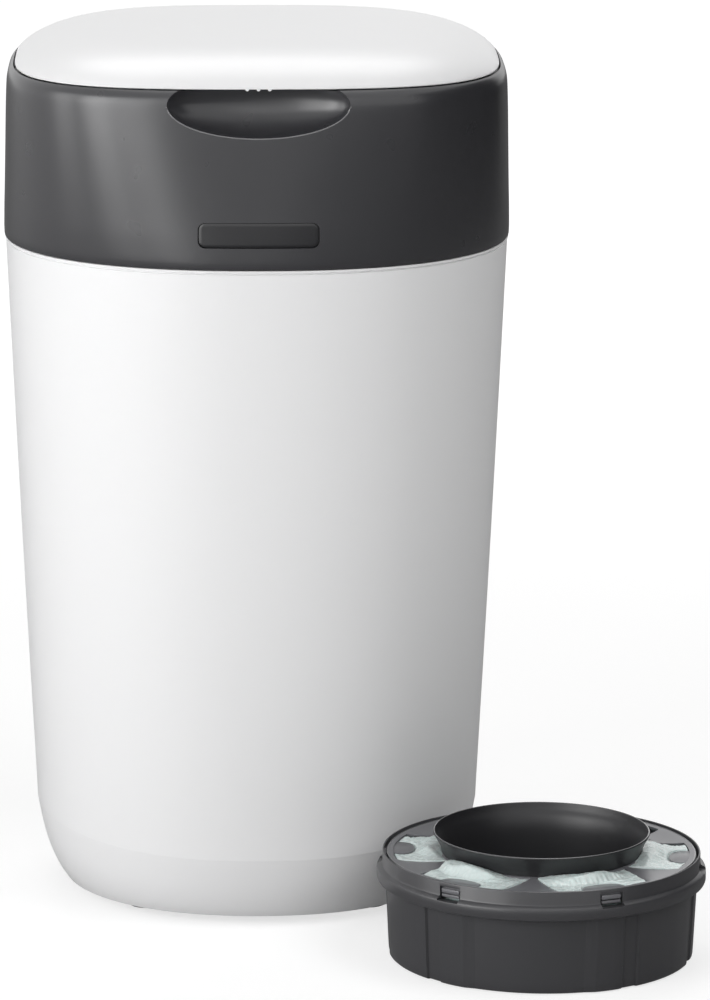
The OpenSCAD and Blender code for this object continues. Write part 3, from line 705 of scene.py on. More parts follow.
@dataclass
class Bucket:
    """White tapered bucket with a tucked base, a rim bead and the rear hinge lugs."""

    rim: float = 351.8
    low: float = 2.2
    wall: float = 2.6
    top_half: float = 131.8
    foot_half: float = 118.0
    foot: float = 60.0
    body_top: float = 349.5
    belly: float = 1.4
    crease: float = 38.2
    crease_rise: float = 8.5
    base_half: float = 92.0
    tuck_half: float = 98.5
    hinge: Pair = HEAD_HINGE
    hinge_r: float = 6.0
    lug_drop: float = 38.0
    lugs: tuple[Pair, ...] = ((-44, -32), (-6, 6), (32, 44))
    plan: Plan = field(default_factory=Plan)

    def square(self, z: float) -> float:
        """Returns the squareness of the outline at a height."""
        return 2.16 + 0.12 * z / self.rim

    def taper(self, z: np.ndarray | float) -> np.ndarray | float:
        """Returns the half width of the wall at a height, with its faint belly."""
        v = (z - self.foot) / (self.body_top - self.foot)
        return self.foot_half + (self.top_half - self.foot_half) * v + self.belly * np.maximum(v, 0) * (1 - v) * 0.9

    def tuck(self, share: float, cut_in: float = 0.0) -> np.ndarray:
        """Returns an outline of the tucked base.

        Args:
            share: Height as a share of the crease's height.
            cut_in: How far inside the surface the outline lies.

        Returns:
            One point a row.
        """
        c, _ = self.plan.turns()
        edge = self.crease + self.crease_rise * np.abs(c) ** 3
        full = self.taper(edge)
        lean = 0.45 * (1 - share) + 0.55 * (1 - share) ** 3.2
        half = full - (full - self.tuck_half) * lean - cut_in
        return self.plan.ring(half, share * edge, self.square(self.crease * share))

    def level(self, half: float, z: float) -> np.ndarray:
        """Returns the outline at one height."""
        return self.plan.ring(half, z, self.square(z))

    def between(self, z0: float, share: float, cut_in: float = 0.0) -> np.ndarray:
        """Returns an outline of the wall between the crease and a height.

        Args:
            z0: Height of the upper end.
            share: 0 at the crease, 1 at the upper end.
            cut_in: How far inside the surface the outline lies.

        Returns:
            One point a row.
        """
        c, _ = self.plan.turns()
        edge = self.crease + self.crease_rise * np.abs(c) ** 3
        z = edge + (z0 - edge) * share
        return self.plan.ring(self.taper(z) - cut_in, z, self.square(float(z.mean())))

    def shell(self) -> Piece:
        """Makes the moulded shell, outside and inside.

        Returns:
            The shell.
        """
        b, rim = self.base_half, self.rim
        base = ((20.0, 0), (60.0, 0), (b - 0.6, 0), (b + 1.0, 0.08), (b + 3.9, 0.4), (b + 6.0, 0.95), (b + 7.8, 1.7))
        rows = [self.level(h, self.low + up) for h, up in base]
        shares = (0.12, 0.155, 0.2, 0.25, 0.31, 0.38, 0.46, 0.55, 0.65, 0.75, 0.85, 0.93, 0.985)
        rows += [self.tuck(s) for s in shares]
        shares = (0.0, 0.006, 0.03, 0.1, 0.2, 0.35, 0.5, 0.65, 0.8, 0.92, 1.0)
        rows += [self.between(self.body_top, s) for s in shares]
        top = self.top_half
        rows += [self.level(h, z) for h, z in (
            (top - 0.15, self.body_top + 0.12), (top - 0.5, self.body_top + 0.3), (top - 0.5, rim - 1.6),
            (top + 0.3, rim - 1.35), (top + 0.5, rim - 1.1), (top + 0.5, rim - 0.5), (top + 0.4, rim - 0.15),
            (top + 0.1, rim), (top - 2.2, rim), (top - 2.6, rim - 0.4), (top - 2.8, rim - 1.2))]
        inner = self.wall + 0.2
        rows += [self.between(rim - 2, s, inner) for s in (1.0, 0.7, 0.35, 0.1, 0.0)]
        rows += [self.tuck(s, inner) for s in (0.85, 0.65, 0.5, 0.36)]
        rows += [self.level(h, z) for h, z in ((103.0, 9.6), (96.0, 6.6), (88.0, 5.2), (40.0, 5.2), (20.0, 5.2))]
        return Draft().skin(rows, caps=True).make("shell_rows", 24)

    def lug(self, x0: float, x1: float) -> Piece:
        """Makes one hinge lug.

        Args:
            x0: Its left end.
            x1: Its right end.

        Returns:
            The lug.
        """
        y, z = self.hinge
        low, r = z - self.lug_drop, self.hinge_r
        wall = self.taper(low) - self.plan.inset
        outline = [(wall - 3, low + 1), (wall - 1, low), *arc(y, z, r, range(-28, 181, 11)),
                   (self.taper(z) - self.plan.inset - 1, z - 2)]
        return round_edges(Draft().drawn(outline, x0, x1, Axis.X).make("lug"), 0.7, 2)

    def build(self, finish: Finishes) -> None:
        """Builds the bucket and dresses it.

        Args:
            finish: Every finish.
        """
        bolt = Draft().turned(tube(AXIS_R, 2.25, -50, 50), 32, Axis.X, (0, *self.hinge)).make("bolt")
        lugs = cut(join([self.lug(*l) for l in self.lugs], "lugs"), bolt)
        settle(join([self.shell(), lugs], "bucket_body", 6.5), finish.shell, "bucket", "white_shell", "bucket_shell")


@dataclass
class Collar:
    """Dark head with the finger scoop, the button recess and the rear knuckles."""

    low: float = 352.2
    half: float = 132.6
    shoulder: float = 443.0
    seat: float = 437.0
    wall: float = 2.6
    seat_half: float = 114.5
    lid_gap_half: float = 126.95
    scoop_half: float = 46.6
    scoop_r: float = 17.0
    scoop_at: Pair = (-127.05, 436.0)
    button: tuple[float, float, float, float] = (61.0, 12.4, 3.4, 369.9)
    tunnel_back: float = -118.65
    hinge: Pair = HEAD_HINGE
    arms: tuple[Pair, ...] = ((-31.6, -6.4), (6.4, 31.6))
    arm_rise: float = 38.0
    arm_r: float = 6.0
    lid_hinge: Pair = LID_HINGE
    knuckles: tuple[Pair, ...] = ((-46.4, -36.4), (-15.6, 15.6), (36.4, 46.4))
    notch: Triple = (52.0, 112.0, 429.0)
    screws: tuple[Pair, ...] = ((120.1, 0), (87, 100), (87, -100))
    plan: Plan = field(default_factory=lambda: Plan(columns=360))

    def square(self, z: float) -> float:
        """Returns the squareness of the outline at a height."""
        return 2.28 + 0.82 * min(1.0, (z - 351.8) / 85.2)

    def outside(self) -> Profile:
        """Draws the smooth outer profile from the lower edge to the lid gap.

        Returns:
            Half width and height at each level.
        """
        h = self.half
        knots = [(h + 0.1, 356.2), (h - 0.12, 368.0), (h - 0.5, 380.2), (h - 1.0, 400.0), (h - 1.5, 420.0),
                 (h - 2.0, 433.0), (h - 2.45, 437.2), (h - 3.2, 440.0), (h - 4.4, 441.9), (h - 5.3, 442.75),
                 (h - 5.62, self.shoulder)]
        return [(h - 0.35, self.low), (h - 0.08, self.low + 0.12), (h, self.low + 0.4)] + curve(knots, 3)

    def level(self, half: float, z: float) -> np.ndarray:
        """Returns the outline at one height."""
        return self.plan.ring(half, z, self.square(z))

    def front(self, x: float, z: float) -> float:
        """Finds the outer face on the front.

        Args:
            x: Place across.
            z: Height.

        Returns:
            The depth of the face there.
        """
        profile = self.outside()
        half = float(np.interp(z, [p[1] for p in profile], [p[0] for p in profile]))
        n = self.square(z)
        return -(half - self.plan.inset) * (1 - (abs(x) / half) ** n) ** (1 / n)

    def spindle(self, grow: float, name: str) -> Piece:
        """Makes the solid whose shape the scoop has.

        Args:
            grow: How much larger it is on every side.
            name: Its name.

        Returns:
            The solid.
        """
        steps = 40
        turns = np.linspace(0, 2 * math.pi, 72, endpoint=False)
        rows = []
        for i in range(steps + 1):
            t = math.pi * i / steps - math.pi / 2
            r, x = max(0.02, (self.scoop_r + grow) * math.cos(t)), (self.scoop_half + grow) * math.sin(t)
            rows.append(Draft.swing(hoop(r, x, turns), Axis.X) + np.array((0, *self.scoop_at)))
        return Draft().skin(rows, caps=True).make(name)

    def ring(self) -> Piece:
        """Makes the closed moulding before its cuts.

        Returns:
            The moulding.
        """
        h, gap, seat, bore, wall = self.half, self.lid_gap_half, self.seat, self.seat_half, self.wall
        inside = [(gap + 0.02, self.shoulder - 0.25), (gap, self.shoulder - 0.7), (gap, seat + 0.3),
                  (gap - 0.3, seat), (120.5, seat), (bore + 0.3, seat), (bore, seat - 0.3), (bore, seat - 2.3),
                  (bore + 0.3, seat - 2.6), (121.0, seat - 2.6), (h - 4.8, seat - 2.6), (h - 4.3, seat - 6),
                  (h - 1.5 - wall, 420), (h - wall, 356.2), (h - wall, self.low + 0.3), (h - wall + 0.3, self.low)]
        rows = [self.level(a, z) for a, z in self.outside() + inside]
        return Draft().skin(rows, loop=True).make("ring", 24)

    def outline(self, grow: float) -> Profile:
        """Draws the button's rounded outline.

        Args:
            grow: How much larger it is on every side.

        Returns:
            Height and place across of each corner.
        """
        w, h, corner, z = self.button
        w, h = w / 2 - corner, h / 2 - corner
        out = []
        for q, (x, y) in enumerate(((w, z + h), (-w, z + h), (-w, z - h), (w, z - h))):
            out += arc(x, y, corner + grow, [90 * q + 90 * i / 8 for i in range(9)])
        return [(y, x) for x, y in out]

    def rim_bead(self) -> Piece:
        """Makes the fine rounded lip round the lower edge of the scoop.

        Returns:
            The lip.
        """
        depth, height = self.scoop_at
        line = []
        for phi in np.radians(np.linspace(-86, 86, 121)):
            x, r = self.scoop_half * math.sin(phi), self.scoop_r * math.cos(phi)
            low, high = math.radians(-125), math.radians(-50)
            for _ in range(30):
                mid = (low + high) / 2
                within = depth + r * math.cos(mid) < self.front(x, height + r * math.sin(mid))
                low, high = (mid, high) if within else (low, mid)
            line.append(Vector((x, depth + r * math.cos(low) + 0.22, height + r * math.sin(low) + 0.02)))
        rows = []
        for i, p in enumerate(line):
            run = (line[min(i + 1, len(line) - 1)] - line[max(i - 1, 0)]).normalized()
            side = run.cross(Vector((0, 1, 0))).normalized()
            up = side.cross(run)
            rows.append(np.array([p + (side * math.cos(a) + up * math.sin(a)) * 0.42
                                  for a in np.linspace(0, 2 * math.pi, 12, endpoint=False)]))
        return Draft().skin(rows, caps=True).make("scoop_lip_highlight")

    def arm(self, x0: float, x1: float) -> Piece:
        """Makes one hinge arm.

        Args:
            x0: Its left end.
            x1: Its right end.

        Returns:
            The arm.
        """
        y, z = self.hinge
        back, top = self.half - self.plan.inset, self.low + self.arm_rise
        outline = [(back - 2.4, top - 1), (back - 2.4, self.low + 0.4), (y - 5.8, self.low + 0.4),
                   *arc(y, z, self.arm_r, range(180, 385, 12)), (back - 0.5, top)]
        return round_edges(Draft().drawn(outline, x0, x1, Axis.X).make("arm"), 0.7, 2)

    def knuckle(self, x0: float, x1: float) -> Piece:
        """Makes one knuckle of the lid hinge with its foot.

        Args:
            x0: Its left end.
            x1: Its right end.

        Returns:
            The knuckle.
        """
        y, z = self.lid_hinge
        rod = Draft().turned(soften(tube(AXIS_R, 4.5, x0, x1), 0.4), 40, Axis.X, (0, y, z)).make("rod")
        foot = Draft().block((x0 + 0.05, y - 3.4, self.notch[2] - 1), (x1 - 0.05, y + 2, z)).make("foot")
        return join([rod, round_edges(foot, 0.35)], "knuckle")

    def build(self, finish: Finishes) -> None:
        """Builds the collar and dresses it.

        Args:
            finish: Every finish.
        """
        ring, (front, _), top = self.ring(), self.scoop_at, self.shoulder
        backing = self.spindle(2.4, "backing")
        cut(backing, Draft().block((-80, front + 1.6, 400), (80, 0, top - 0.5)).make("keep"), "INTERSECT")
        within = Draft().skin([self.level(a - 0.4, z) for a, z in self.outside()], caps=True).make("within")
        cut(ring, cut(backing, within, "INTERSECT"), "UNION")
        half, near, floor = self.notch
        back = self.half - self.plan.inset - 2
        trough = Draft().block((-half - 2, near - 2, floor - 2.6), (half + 2, back, self.seat - 0.5))
        cut(ring, trough.make("trough"), "UNION")
        tunnel = Draft().drawn(self.outline(2.4), front + 0.6, self.tunnel_back, Axis.Y)
        cut(ring, tunnel.make("tunnel"), "UNION")
        cut(ring, self.spindle(0, "scoop"))
        cut(ring, Draft().block((-half, near, floor), (half, 160, top + 5)).make("notch"))
        cut(ring, Draft().drawn(self.outline(0.3), -140, self.tunnel_back + 1, Axis.Y).make("hole"))
        parts = [ring] + [self.arm(*a) for a in self.arms] + [self.knuckle(*k) for k in self.knuckles]
        for x, y in self.screws:
            for side in (-1, 1):
                boss = soften(tube(1.4, 3.6, 431.5, 436), 0.2)
                parts.append(Draft().turned(boss, 32, Axis.Z, (side * x, y, 0)).make("boss"))
        settle(join(parts, "head_collar", 30), finish.head, "head", "head_grey", "collar_shell")
        # The scoop's rim bead is dressed in the lighter lip grey: a painted highlight line along the rim.
        settle(self.rim_bead(), finish.lip, "head", "head_grey")
        self.press_button(finish)

    def past(self, x: float, up: float) -> Pair:
        """Returns how far past the button's straight sides a place lies, across and up."""
        w, h, corner, _ = self.button
        return max(0.0, abs(x) - (w / 2 - corner)), max(0.0, abs(up) - (h / 2 - corner))

    def press_button(self, finish: Finishes) -> None:
        """Builds the sunk release button with its hook.

        Args:
            finish: Every finish.
        """
        w, h, corner, z = self.button
        sunk, worn, rounding = 0.7, 0.25, 0.3
        face = []
        for v in np.linspace(-1, 1, 15):
            line = []
            for u in np.linspace(-1, 1, 64):
                x, up = u * w / 2, v * h / 2
                bx, bz = self.past(x, up)
                reach = math.hypot(bx, bz)
                if reach > corner:
                    x = math.copysign(w / 2 - corner + bx * corner / reach, x)
                    up = math.copysign(h / 2 - corner + bz * corner / reach, up)
                edge = min(1.0, (corner - min(corner, math.hypot(*self.past(x, up)))) / rounding)
                line.append((x, self.front(x, z + up) + sunk + worn * (1 - edge) ** 2, z + up))
            face.append(np.array(line))
        front = Draft().skin(face, around=False).make("face")
        solids = [Draft().drawn(self.outline(grow), low, high, Axis.Y).make("solid")
                  for grow, low, high in ((0, -126.4, -123.2), (-0.6, -123.3, -117.25), (1.8, -118.35, -116.75))]
        y = self.tunnel_back
        hook = [(y + 1, z + 3), (y + 4, z + 3), (y + 4, 332.8), (y + 2, 332.8), (-119.3, 336.2), (-119.3, 338.6),
                (y + 1.4, 338.6), (y + 1.4, z - 3), (y + 1, z - 3)]
        claw = round_edges(Draft().drawn(hook, -9, 9, Axis.X).make("claw"), 0.3)
        piece = join([front, *solids, claw], "release_plate", 30)
        settle(piece, finish.button, "button", "button_grey", "release_button")


@dataclass
class Lid:
    """White domed lid with three small grip ribs under its front lip."""

    rim: float = 443.9
    lip: float = 443.6
    half: float = 126.05
    rise: float = 17.5
    square: float = 3.17
    wall: float = 2.4
    grip_pitch: float = 5.7
    hinge: Pair = LID_HINGE
    knuckles: tuple[Pair, ...] = ((-36, -16), (16, 36))
    tab: Triple = (50.6, 113.0, 441.2)
    bosses: float = 66.0
    plan: Plan = field(default_factory=lambda: Plan(columns=360))

    def dome(self, rho: float) -> float:
        """Returns the height of the dome at a share of its half width."""
        return self.rim + self.rise * (1 - rho ** 5.24) ** 0.784

    def level(self, half: float, z: float) -> np.ndarray:
        """Returns the outline at one height; it is less inset near the middle."""
        return self.plan.ring(half, z, self.square, self.plan.inset * min(1.0, half / self.half))

    def panel(self) -> Piece:
        """Makes the dome, its lip and its underside.

        Returns:
            The panel.
        """
        shares = [1 - (1 - s) ** 1.9 for s in np.linspace(0.02, 1, 46)]
        outer = [(self.half * s, self.dome(s)) for s in shares[:-1]]
        h, low, under = self.half, self.lip, self.half - 2.3
        lip = [(h, self.rim + 0.35), (h, self.rim + 0.05), (h - 0.12, low + 0.1), (h - 0.45, low),
               (h - 2.0, low), (under, low + 0.3)]
        inner = [(under * s, self.dome(s) - self.wall) for s in (0.985, 0.96, 0.92, 0.85, 0.74, 0.6, 0.4, 0.2, 0.03)]
        rows = [self.level(h, z) for h, z in outer + lip + inner]
        return Draft().skin(rows, caps=True).make("panel", 40)

    def build(self, finish: Finishes) -> None:
        """Builds the lid and dresses it.

        Args:
            finish: Every finish.
        """
        parts = [self.panel()]
        front = -(self.half - self.plan.inset)
        for x in (-self.grip_pitch, 0.0, self.grip_pitch):
            rib = soften(tube(AXIS_R, 1.0, 0.35, 9), 0.5, 4)
            parts.append(Draft().turned(rib, 24, Axis.Y, (x, front, self.lip)).make("rib"))
        bar = Draft().block((-9, front + 1.6, self.lip - 0.1), (9, front + 10, self.lip + 1.2)).make("bar")
        parts.append(round_edges(bar, 0.3))
        half, near, low = self.tab
        tab = Draft().block((-half, near, low), (half, 200, self.lip + 0.3)).make("tab")
        outline = Plan(columns=360).ring(130.5, 0, 3.1)[:, :2]
        keep = Draft().drawn([tuple(p) for p in outline], low - 1, self.lip + 1).make("keep")
        parts.append(round_edges(cut(tab, keep, "INTERSECT"), 0.4))
        y, z = self.hinge
        for x0, x1 in self.knuckles:
            rod = soften(tube(1.8, 4.5, x0, x1), 0.4)
            parts.append(Draft().turned(rod, 40, Axis.X, (0, y, z)).make("rod"))
            web = Draft().block((x0 + 0.05, y - 3, z), (x1 - 0.05, y + 2.4, low + 0.5)).make("web")
            parts.append(round_edges(web, 0.3))
        for x, y in arc(0, 0, self.bosses, range(30, 390, 60)):
            parts.append(Draft().turned(tube(1.4, 3.6, 452.5, 458.6), 24, Axis.Z, (x, y, 0)).make("boss"))
        settle(join(parts, "lid_dome", 40), finish.lid, "lid", "lid_white", "lid_panel")


@dataclass(frozen=True)
class Window:
    """How the film lies in one window of the cap.

    The ends are along the window, low and high in the sense of the angle.
    """

    angle: float
    gap_low: float
    gap_high: float
    crest: float
    reach: float
    rise: float


@dataclass
class Cassette:
    """Refill cassette: tub with panels and flutes, core, windowed cap and gathered film."""

    spot: Pair = (144.9, -149.8)
    turn: float = -7.4
    lip_r: float = 81.5
    lip: float = 54.6
    flange_r: float = 84.4
    neck_r: float = 55.6
    neck: float = 64.8
    core_in: float = 49.2
    core_t: float = 1.6
    cap: float = 53.6
    tub_r: float = 80.1
    low_r: float = 78.2
    recess: float = 1.25
    window_in: float = 52.3
    window_out: float = 76.0
    window_half: float = 25.0
    tab_in: float = 65.6
    tab_half: float = 10.6
    tab_round: float = 5.6
    bed: float = 46.0
    flutes: Triple = (30.0, 150.0, 270.0)
    sink: tuple[Pair, ...] = (
        (0.0, 1.0), (20.9, 1.0), (25.4, 0.0), (32.4, 0.0), (36.2, 0.25), (36.7, 1.0), (42.5, 1.0), (43.0, 0.0))
    windows: tuple[Window, ...] = (
        Window(0.0, 0.0, 3.8, 4.0, 22.0, 2.8), Window(60.0, 7.0, 1.0, 0.0, 20.0, 1.6),
        Window(120.0, 1.0, 7.0, 0.0, 20.0, 1.6), Window(180.0, 3.8, 0.0, -4.0, 22.0, 2.8),
        Window(240.0, 0.0, 0.0, -8.5, 18.0, 5.4), Window(300.0, 0.0, 0.0, -3.0, 17.5, 4.4))

    def place(self, piece: Piece) -> Piece:
        """Moves a piece's mesh from the axis to where the cassette stands."""
        return swung(piece, self.turn, self.spot)

    def sunk(self, degrees: float) -> float:
        """Returns how deep the tub wall is sunk at an angle, 0 to 1."""
        off = min(abs((degrees - base + 180) % 360 - 180) for base in self.flutes)
        return float(np.interp(off, [p[0] for p in self.sink], [p[1] for p in self.sink]))

    def angles(self) -> np.ndarray:
        """Lists column angles that follow the edges of the panels and flutes.

        Returns:
            The angles in degrees.
        """
        marks = set(np.arange(0, 360, 1.5).tolist())
        for base in self.flutes:
            for off, _ in self.sink[1:]:
                for side in (-1, 1):
                    marks.update(round((base + side * off + step) % 360, 3) for step in (-0.25, 0.0, 0.25))
        return np.array(sorted(marks))

    def wall(self) -> Piece:
        """Makes the tub with its flange band and sunk panels.

        Returns:
            The tub.
        """
        degrees = self.angles()
        t = np.radians(degrees)
        depth = np.array([self.sunk(d) for d in degrees]) * self.recess
        band, lip, top, flange, tub_r, foot_r = 46.5, self.lip_r, self.lip, self.flange_r, self.tub_r, self.low_r
        low, bore = band - 7, self.core_in
        sunk = [(foot_r - 2.2, 0.0, 1), (foot_r - 0.9, 0.2, 1), (foot_r - 0.25, 0.8, 1), (foot_r, 1.8, 1),
                (foot_r + 0.25, 6.0, 1), (tub_r - 0.1, low - 0.9, 1), (tub_r, low - 0.3, 0.6)]
        plain = [(tub_r + 0.5, low), (flange - 1.2, low + 0.25), (flange - 0.3, low + 0.7), (flange, low + 1.5),
                 (flange, band - 1.5), (flange - 0.25, band - 0.6), (flange - 0.8, band - 0.1),
                 (lip + 1.1, band + 0.35), (lip + 0.35, band + 0.8), (lip, band + 1.7), (lip, top - 0.5),
                 (lip - 0.15, top - 0.12), (lip - 0.45, top), (lip - 0.75, top - 0.12), (lip - 0.9, top - 0.5),
                 (lip - 0.95, top - 5.0), (lip - 1.6, top - 5.4), (lip - 1.6, band), (tub_r - 2.8, low + 2),
                 (foot_r - 3.2, 2.2), (bore - 0.2, 2.2), (bore - 0.2, 14), (bore - 0.5, 14.3), (bore - 1.7, 14.3),
                 (bore - 2.0, 14), (bore - 2.0, 0.4), (bore - 1.6, 0)]
        rows = [hoop(r - depth * share, z, t) for r, z, share in sunk + [(r, z, 0) for r, z in plain]]
        tub = Draft().skin(rows, loop=True).make("tub", 24)
        for window in self.windows:
            hole = Draft().block((77.5, -6.2, top - 9.2), (90, 6.2, top - 2.2)).make("window")
            cut(tub, swung(hole, window.angle))
        smooth(tub, 24)
        return tub

    def core(self) -> Piece:
        """Makes the open core, straight below the cap and flared above it.

        Returns:
            The core.
        """
        n, z, c, w = self.neck_r, self.neck, self.cap, self.core_in
        o = w + self.core_t
        inner = [(w, 16), (w + 0.15, c - 22), (w + 0.5, c - 9), (w + 1.1, c - 1), (w + 2.4, c + 4.2),
                 (n - 2.0, z - 3.4), (n - 1.05, z - 0.6)]
        lip = [(n - 0.85, z - 0.12), (n - 0.5, z), (n - 0.15, z - 0.12), (n, z - 0.35)]
        outer = [(n, z - 0.65), (n - 0.85, z - 2.4), (n - 2.6, z - 5.6), (o + 0.75, c + 2.4), (o + 0.05, c - 1.5),
                 (o, c - 6)]
        return Draft().turned([(w, 2.3), *curve(inner, 6), *lip, *curve(outer, 6), (o, 2.3)], 200).make("core", 40)

    @staticmethod
    def bead(radius: float, height: float, thick: float) -> Piece:
        """Returns a round, glossy bead that runs round the cassette's axis; its lighter grey is a painted highlight
        line.
        """
        return Draft().turned(arc(radius, height, thick, range(0, 360, 30)), 240).make("bead")

    def sides(self, grow: float, low: float, high: float) -> Piece:
        """Makes the parallel-sided solid of the window at angle 0.

        Args:
            grow: How much larger it is on every side.
            low: Its lower end.
            high: Its upper end.

        Returns:
            The solid.
        """
        outline = []
        for r, way in ((self.window_out + grow, 1), (self.window_in - grow, -1)):
            wide = math.asin((self.window_half + grow) / r)
            outline += [(r * math.cos(a), r * math.sin(a)) for a in np.linspace(-wide * way, wide * way, 25)]
        return Draft().drawn(soften(outline, 0.8, 3), low, high).make("hole")

    def tab(self, low: float, high: float) -> Piece:
        """Makes the round-ended tab at angle 0 that dips towards its tip.

        Args:
            low: Its lower face.
            high: Its upper face.

        Returns:
            The tab.
        """
        half, tip, bend = self.tab_half, self.tab_in, self.tab_round
        outline = [(self.window_out + 0.8, -half - 0.6), (self.window_out + 0.8, half + 0.6)]
        outline += [(tip + bend - bend * math.cos(math.radians(a)) ** 0.8, half * math.sin(math.radians(a)))
                    for a in np.linspace(84, -84, 25)]
        piece = Draft().drawn(outline, low, high).make("tab")
        for v in piece.data.vertices:
            v.co.z -= 0.0005 * max(0.0, 1 - (v.co.x / MM - tip) / 9.0)
        return round_edges(piece, 0.3)

    def lid_plate(self) -> Piece:
        """Makes the cap plate with its six windows and the tabs in them.

        Returns:
            The cap.
        """
        outer, t, c = self.lip_r - 2.2, 1.6, self.cap
        near = self.core_in + self.core_t + 0.3
        outline = [(near, c - t), (outer - t, c - t), (outer - t, c - 6), (outer, c - 6), (outer, c - 0.45),
                   (outer - 0.15, c - 0.12), (outer - 0.5, c), (outer - 1.2, c), (outer - 3, c - 0.12), (72, c - 0.7),
                   (66, c - 0.95), (60, c - 0.8), (55, c - 0.45), (near + 1.5, c - 0.05), (near, c + 0.35)]
        plate = Draft().turned(outline, 240).make("plate")
        for window in self.windows:
            cut(plate, swung(self.sides(0, c - 3, c + 3), window.angle))
        vent = Draft().turned(tube(AXIS_R, 0.55, c - 1.5, c + 2), 20, Axis.Z, (62, 0, 0)).make("vent")
        cut(plate, swung(vent, 30))
        parts = [round_edges(plate, 0.3, 2, 50)]
        for window in self.windows:
            parts.append(swung(self.tab(c - t - 0.2, c - 0.45), window.angle))
            for z0, z1, out in ((46.9, 48.4, 80.9), (49.2, 51.2, 81.2)):
                nub = round_edges(Draft().block((78.8, -5.3, z0), (out, 5.3, z1)).make("nub"), 0.3)
                parts.append(swung(nub, window.angle))
        return join(parts, "plate_set")

    @staticmethod
    def ridges(x: float, y: float, size: float, seed: float) -> float:
        """Returns a ridged fold height between 0 and 1 at a place.

        Args:
            x: Place across, in millimetres.
            y: Place along, in millimetres.
            size: Size of the folds in millimetres.
            seed: Offset that makes one window differ from another.

        Returns:
            The height, 1 on a fold's crest.
        """
        total = 0.0
        for octave, share in ((1.0, 0.78), (2.3, 0.22)):
            p = Vector((x * octave / size + seed, y * octave / size - seed, seed * 0.37))
            total += share * (1 - min(1.0, abs(noise.noise(p)) * 2.2))
        return total

    def heap(self, window: Window, s: float, r: float) -> float:
        """Returns the height of the film at a place in a window.

        Args:
            window: The window.
            s: Place along the window from its middle, in millimetres.
            r: Distance from the cassette's axis in millimetres.

        Returns:
            The height in millimetres.
        """
        seed = window.angle * 0.13 + 2.7
        near = self.core_in + self.core_t
        v = (r - near) / (self.window_out - near)
        off = (s - window.crest) / window.reach
        crown = window.rise * math.exp(-off ** 4) * (0.75 + 0.3 * noise.noise(Vector((s / 16, seed, 0.0))))
        edge = 0.40 + 0.09 * noise.noise(Vector((s / 10, seed, 4.0)))
        roll = crown * (0.7 + 0.3 * step(v, 0.0, 0.18)) * (1 - step(v, edge - 0.12, edge + 0.14))
        warp = 5.0 * noise.noise(Vector((s / 14, r / 14, seed + 3)))
        fold = self.ridges(s * 0.55 + warp, (r - near) * 1.5 - warp, 17.0, seed) - 0.5
        fine = self.ridges(s * 0.9, (r - near) * 0.7, 4.2, seed + 5) - 0.5
        wave = math.sin(s * 2.1 + 3 * noise.noise(Vector((s / 5, seed, 9.0))))
        pleat = wave * math.exp(-((v - edge - 0.04) / 0.09) ** 2)
        top = self.cap - 0.5 + roll + fold * (0.9 + 0.3 * crown / 3) + fine * 0.22 + 0.13 * pleat * min(1.0, crown)
        ragged = 1.5 * noise.noise(Vector((r / 2.6, seed, 1.0))) + 1.2 * noise.noise(Vector((r / 1.1, seed, 7.0)))
        side = self.window_half + 0.5 - abs(s)
        gap = window.gap_high if s > 0 else window.gap_low
        if gap:
            side -= gap * (0.35 + 0.65 * step(v, 0.15, 0.75)) + ragged * min(1.0, gap / 3)
        hold = step(side, 0.0, 1.3) * step(self.window_out + 0.35 - r, 0.0, 1.0)
        under = self.cap - 1.6 - 0.75
        tip = self.tab_in + self.tab_round - self.tab_round * math.sqrt(max(0.0, 1 - (s / self.tab_half) ** 2))
        free = step(math.hypot(max(0.0, abs(s) - self.tab_half), max(0.0, tip - r)), 0.1, 1.6)
        top = under + (top - under) * free
        top = min(top, self.cap + 1.4 + (r - self.core_in - 2.3) * 2.2)
        return self.bed + (top - self.bed) * hold

    def film(self) -> Piece:
        """Makes the gathered film, packed in the tub and swollen up through the windows.

        Returns:
            The film.
        """
        draft = Draft()
        near, far = self.core_in + self.core_t + 0.1, self.window_out + 0.4
        half = self.window_half + 0.5
        for window in self.windows:
            turn = math.radians(window.angle)
            c, n = math.cos(turn), math.sin(turn)
            rows = []
            for s in np.linspace(-half, half, 150):
                line = []
                for r in np.linspace(near, far, 52):
                    x = math.sqrt(r * r - s * s)
                    line.append((x * c - s * n, x * n + s * c, self.heap(window, s, r)))
                line += [(x, y, self.bed - 1.5) for x, y, _ in (line[-1], line[0])]
                rows.append(np.array(line))
            draft.skin(rows, caps=True)
        t = np.linspace(0, 2 * math.pi, 900, endpoint=False)
        pleats = 0.9 * np.sin(t * 110) + 0.5 * np.sin(t * 37 + 1)
        rows = []
        for r, z, depth in ((near + 1, 4.0, 0.5), (near + 1, 41.0, 1.0), (near + 5, 43.0, 1.0), (65.0, 44.0, 1.0),
                            (far - 5, 43.0, 1.0), (far - 1, 41.0, 1.0), (far - 1, 4.0, 0.5)):
            wave = pleats * depth
            rows.append(hoop(r + wave * 0.4, np.maximum(z + wave * 0.6, 3.0), t))
        return draft.skin(rows, loop=True).make("film", 60)

    def build(self, finish: Finishes) -> None:
        """Builds the cassette and dresses it.

        Args:
            finish: Every finish.
        """
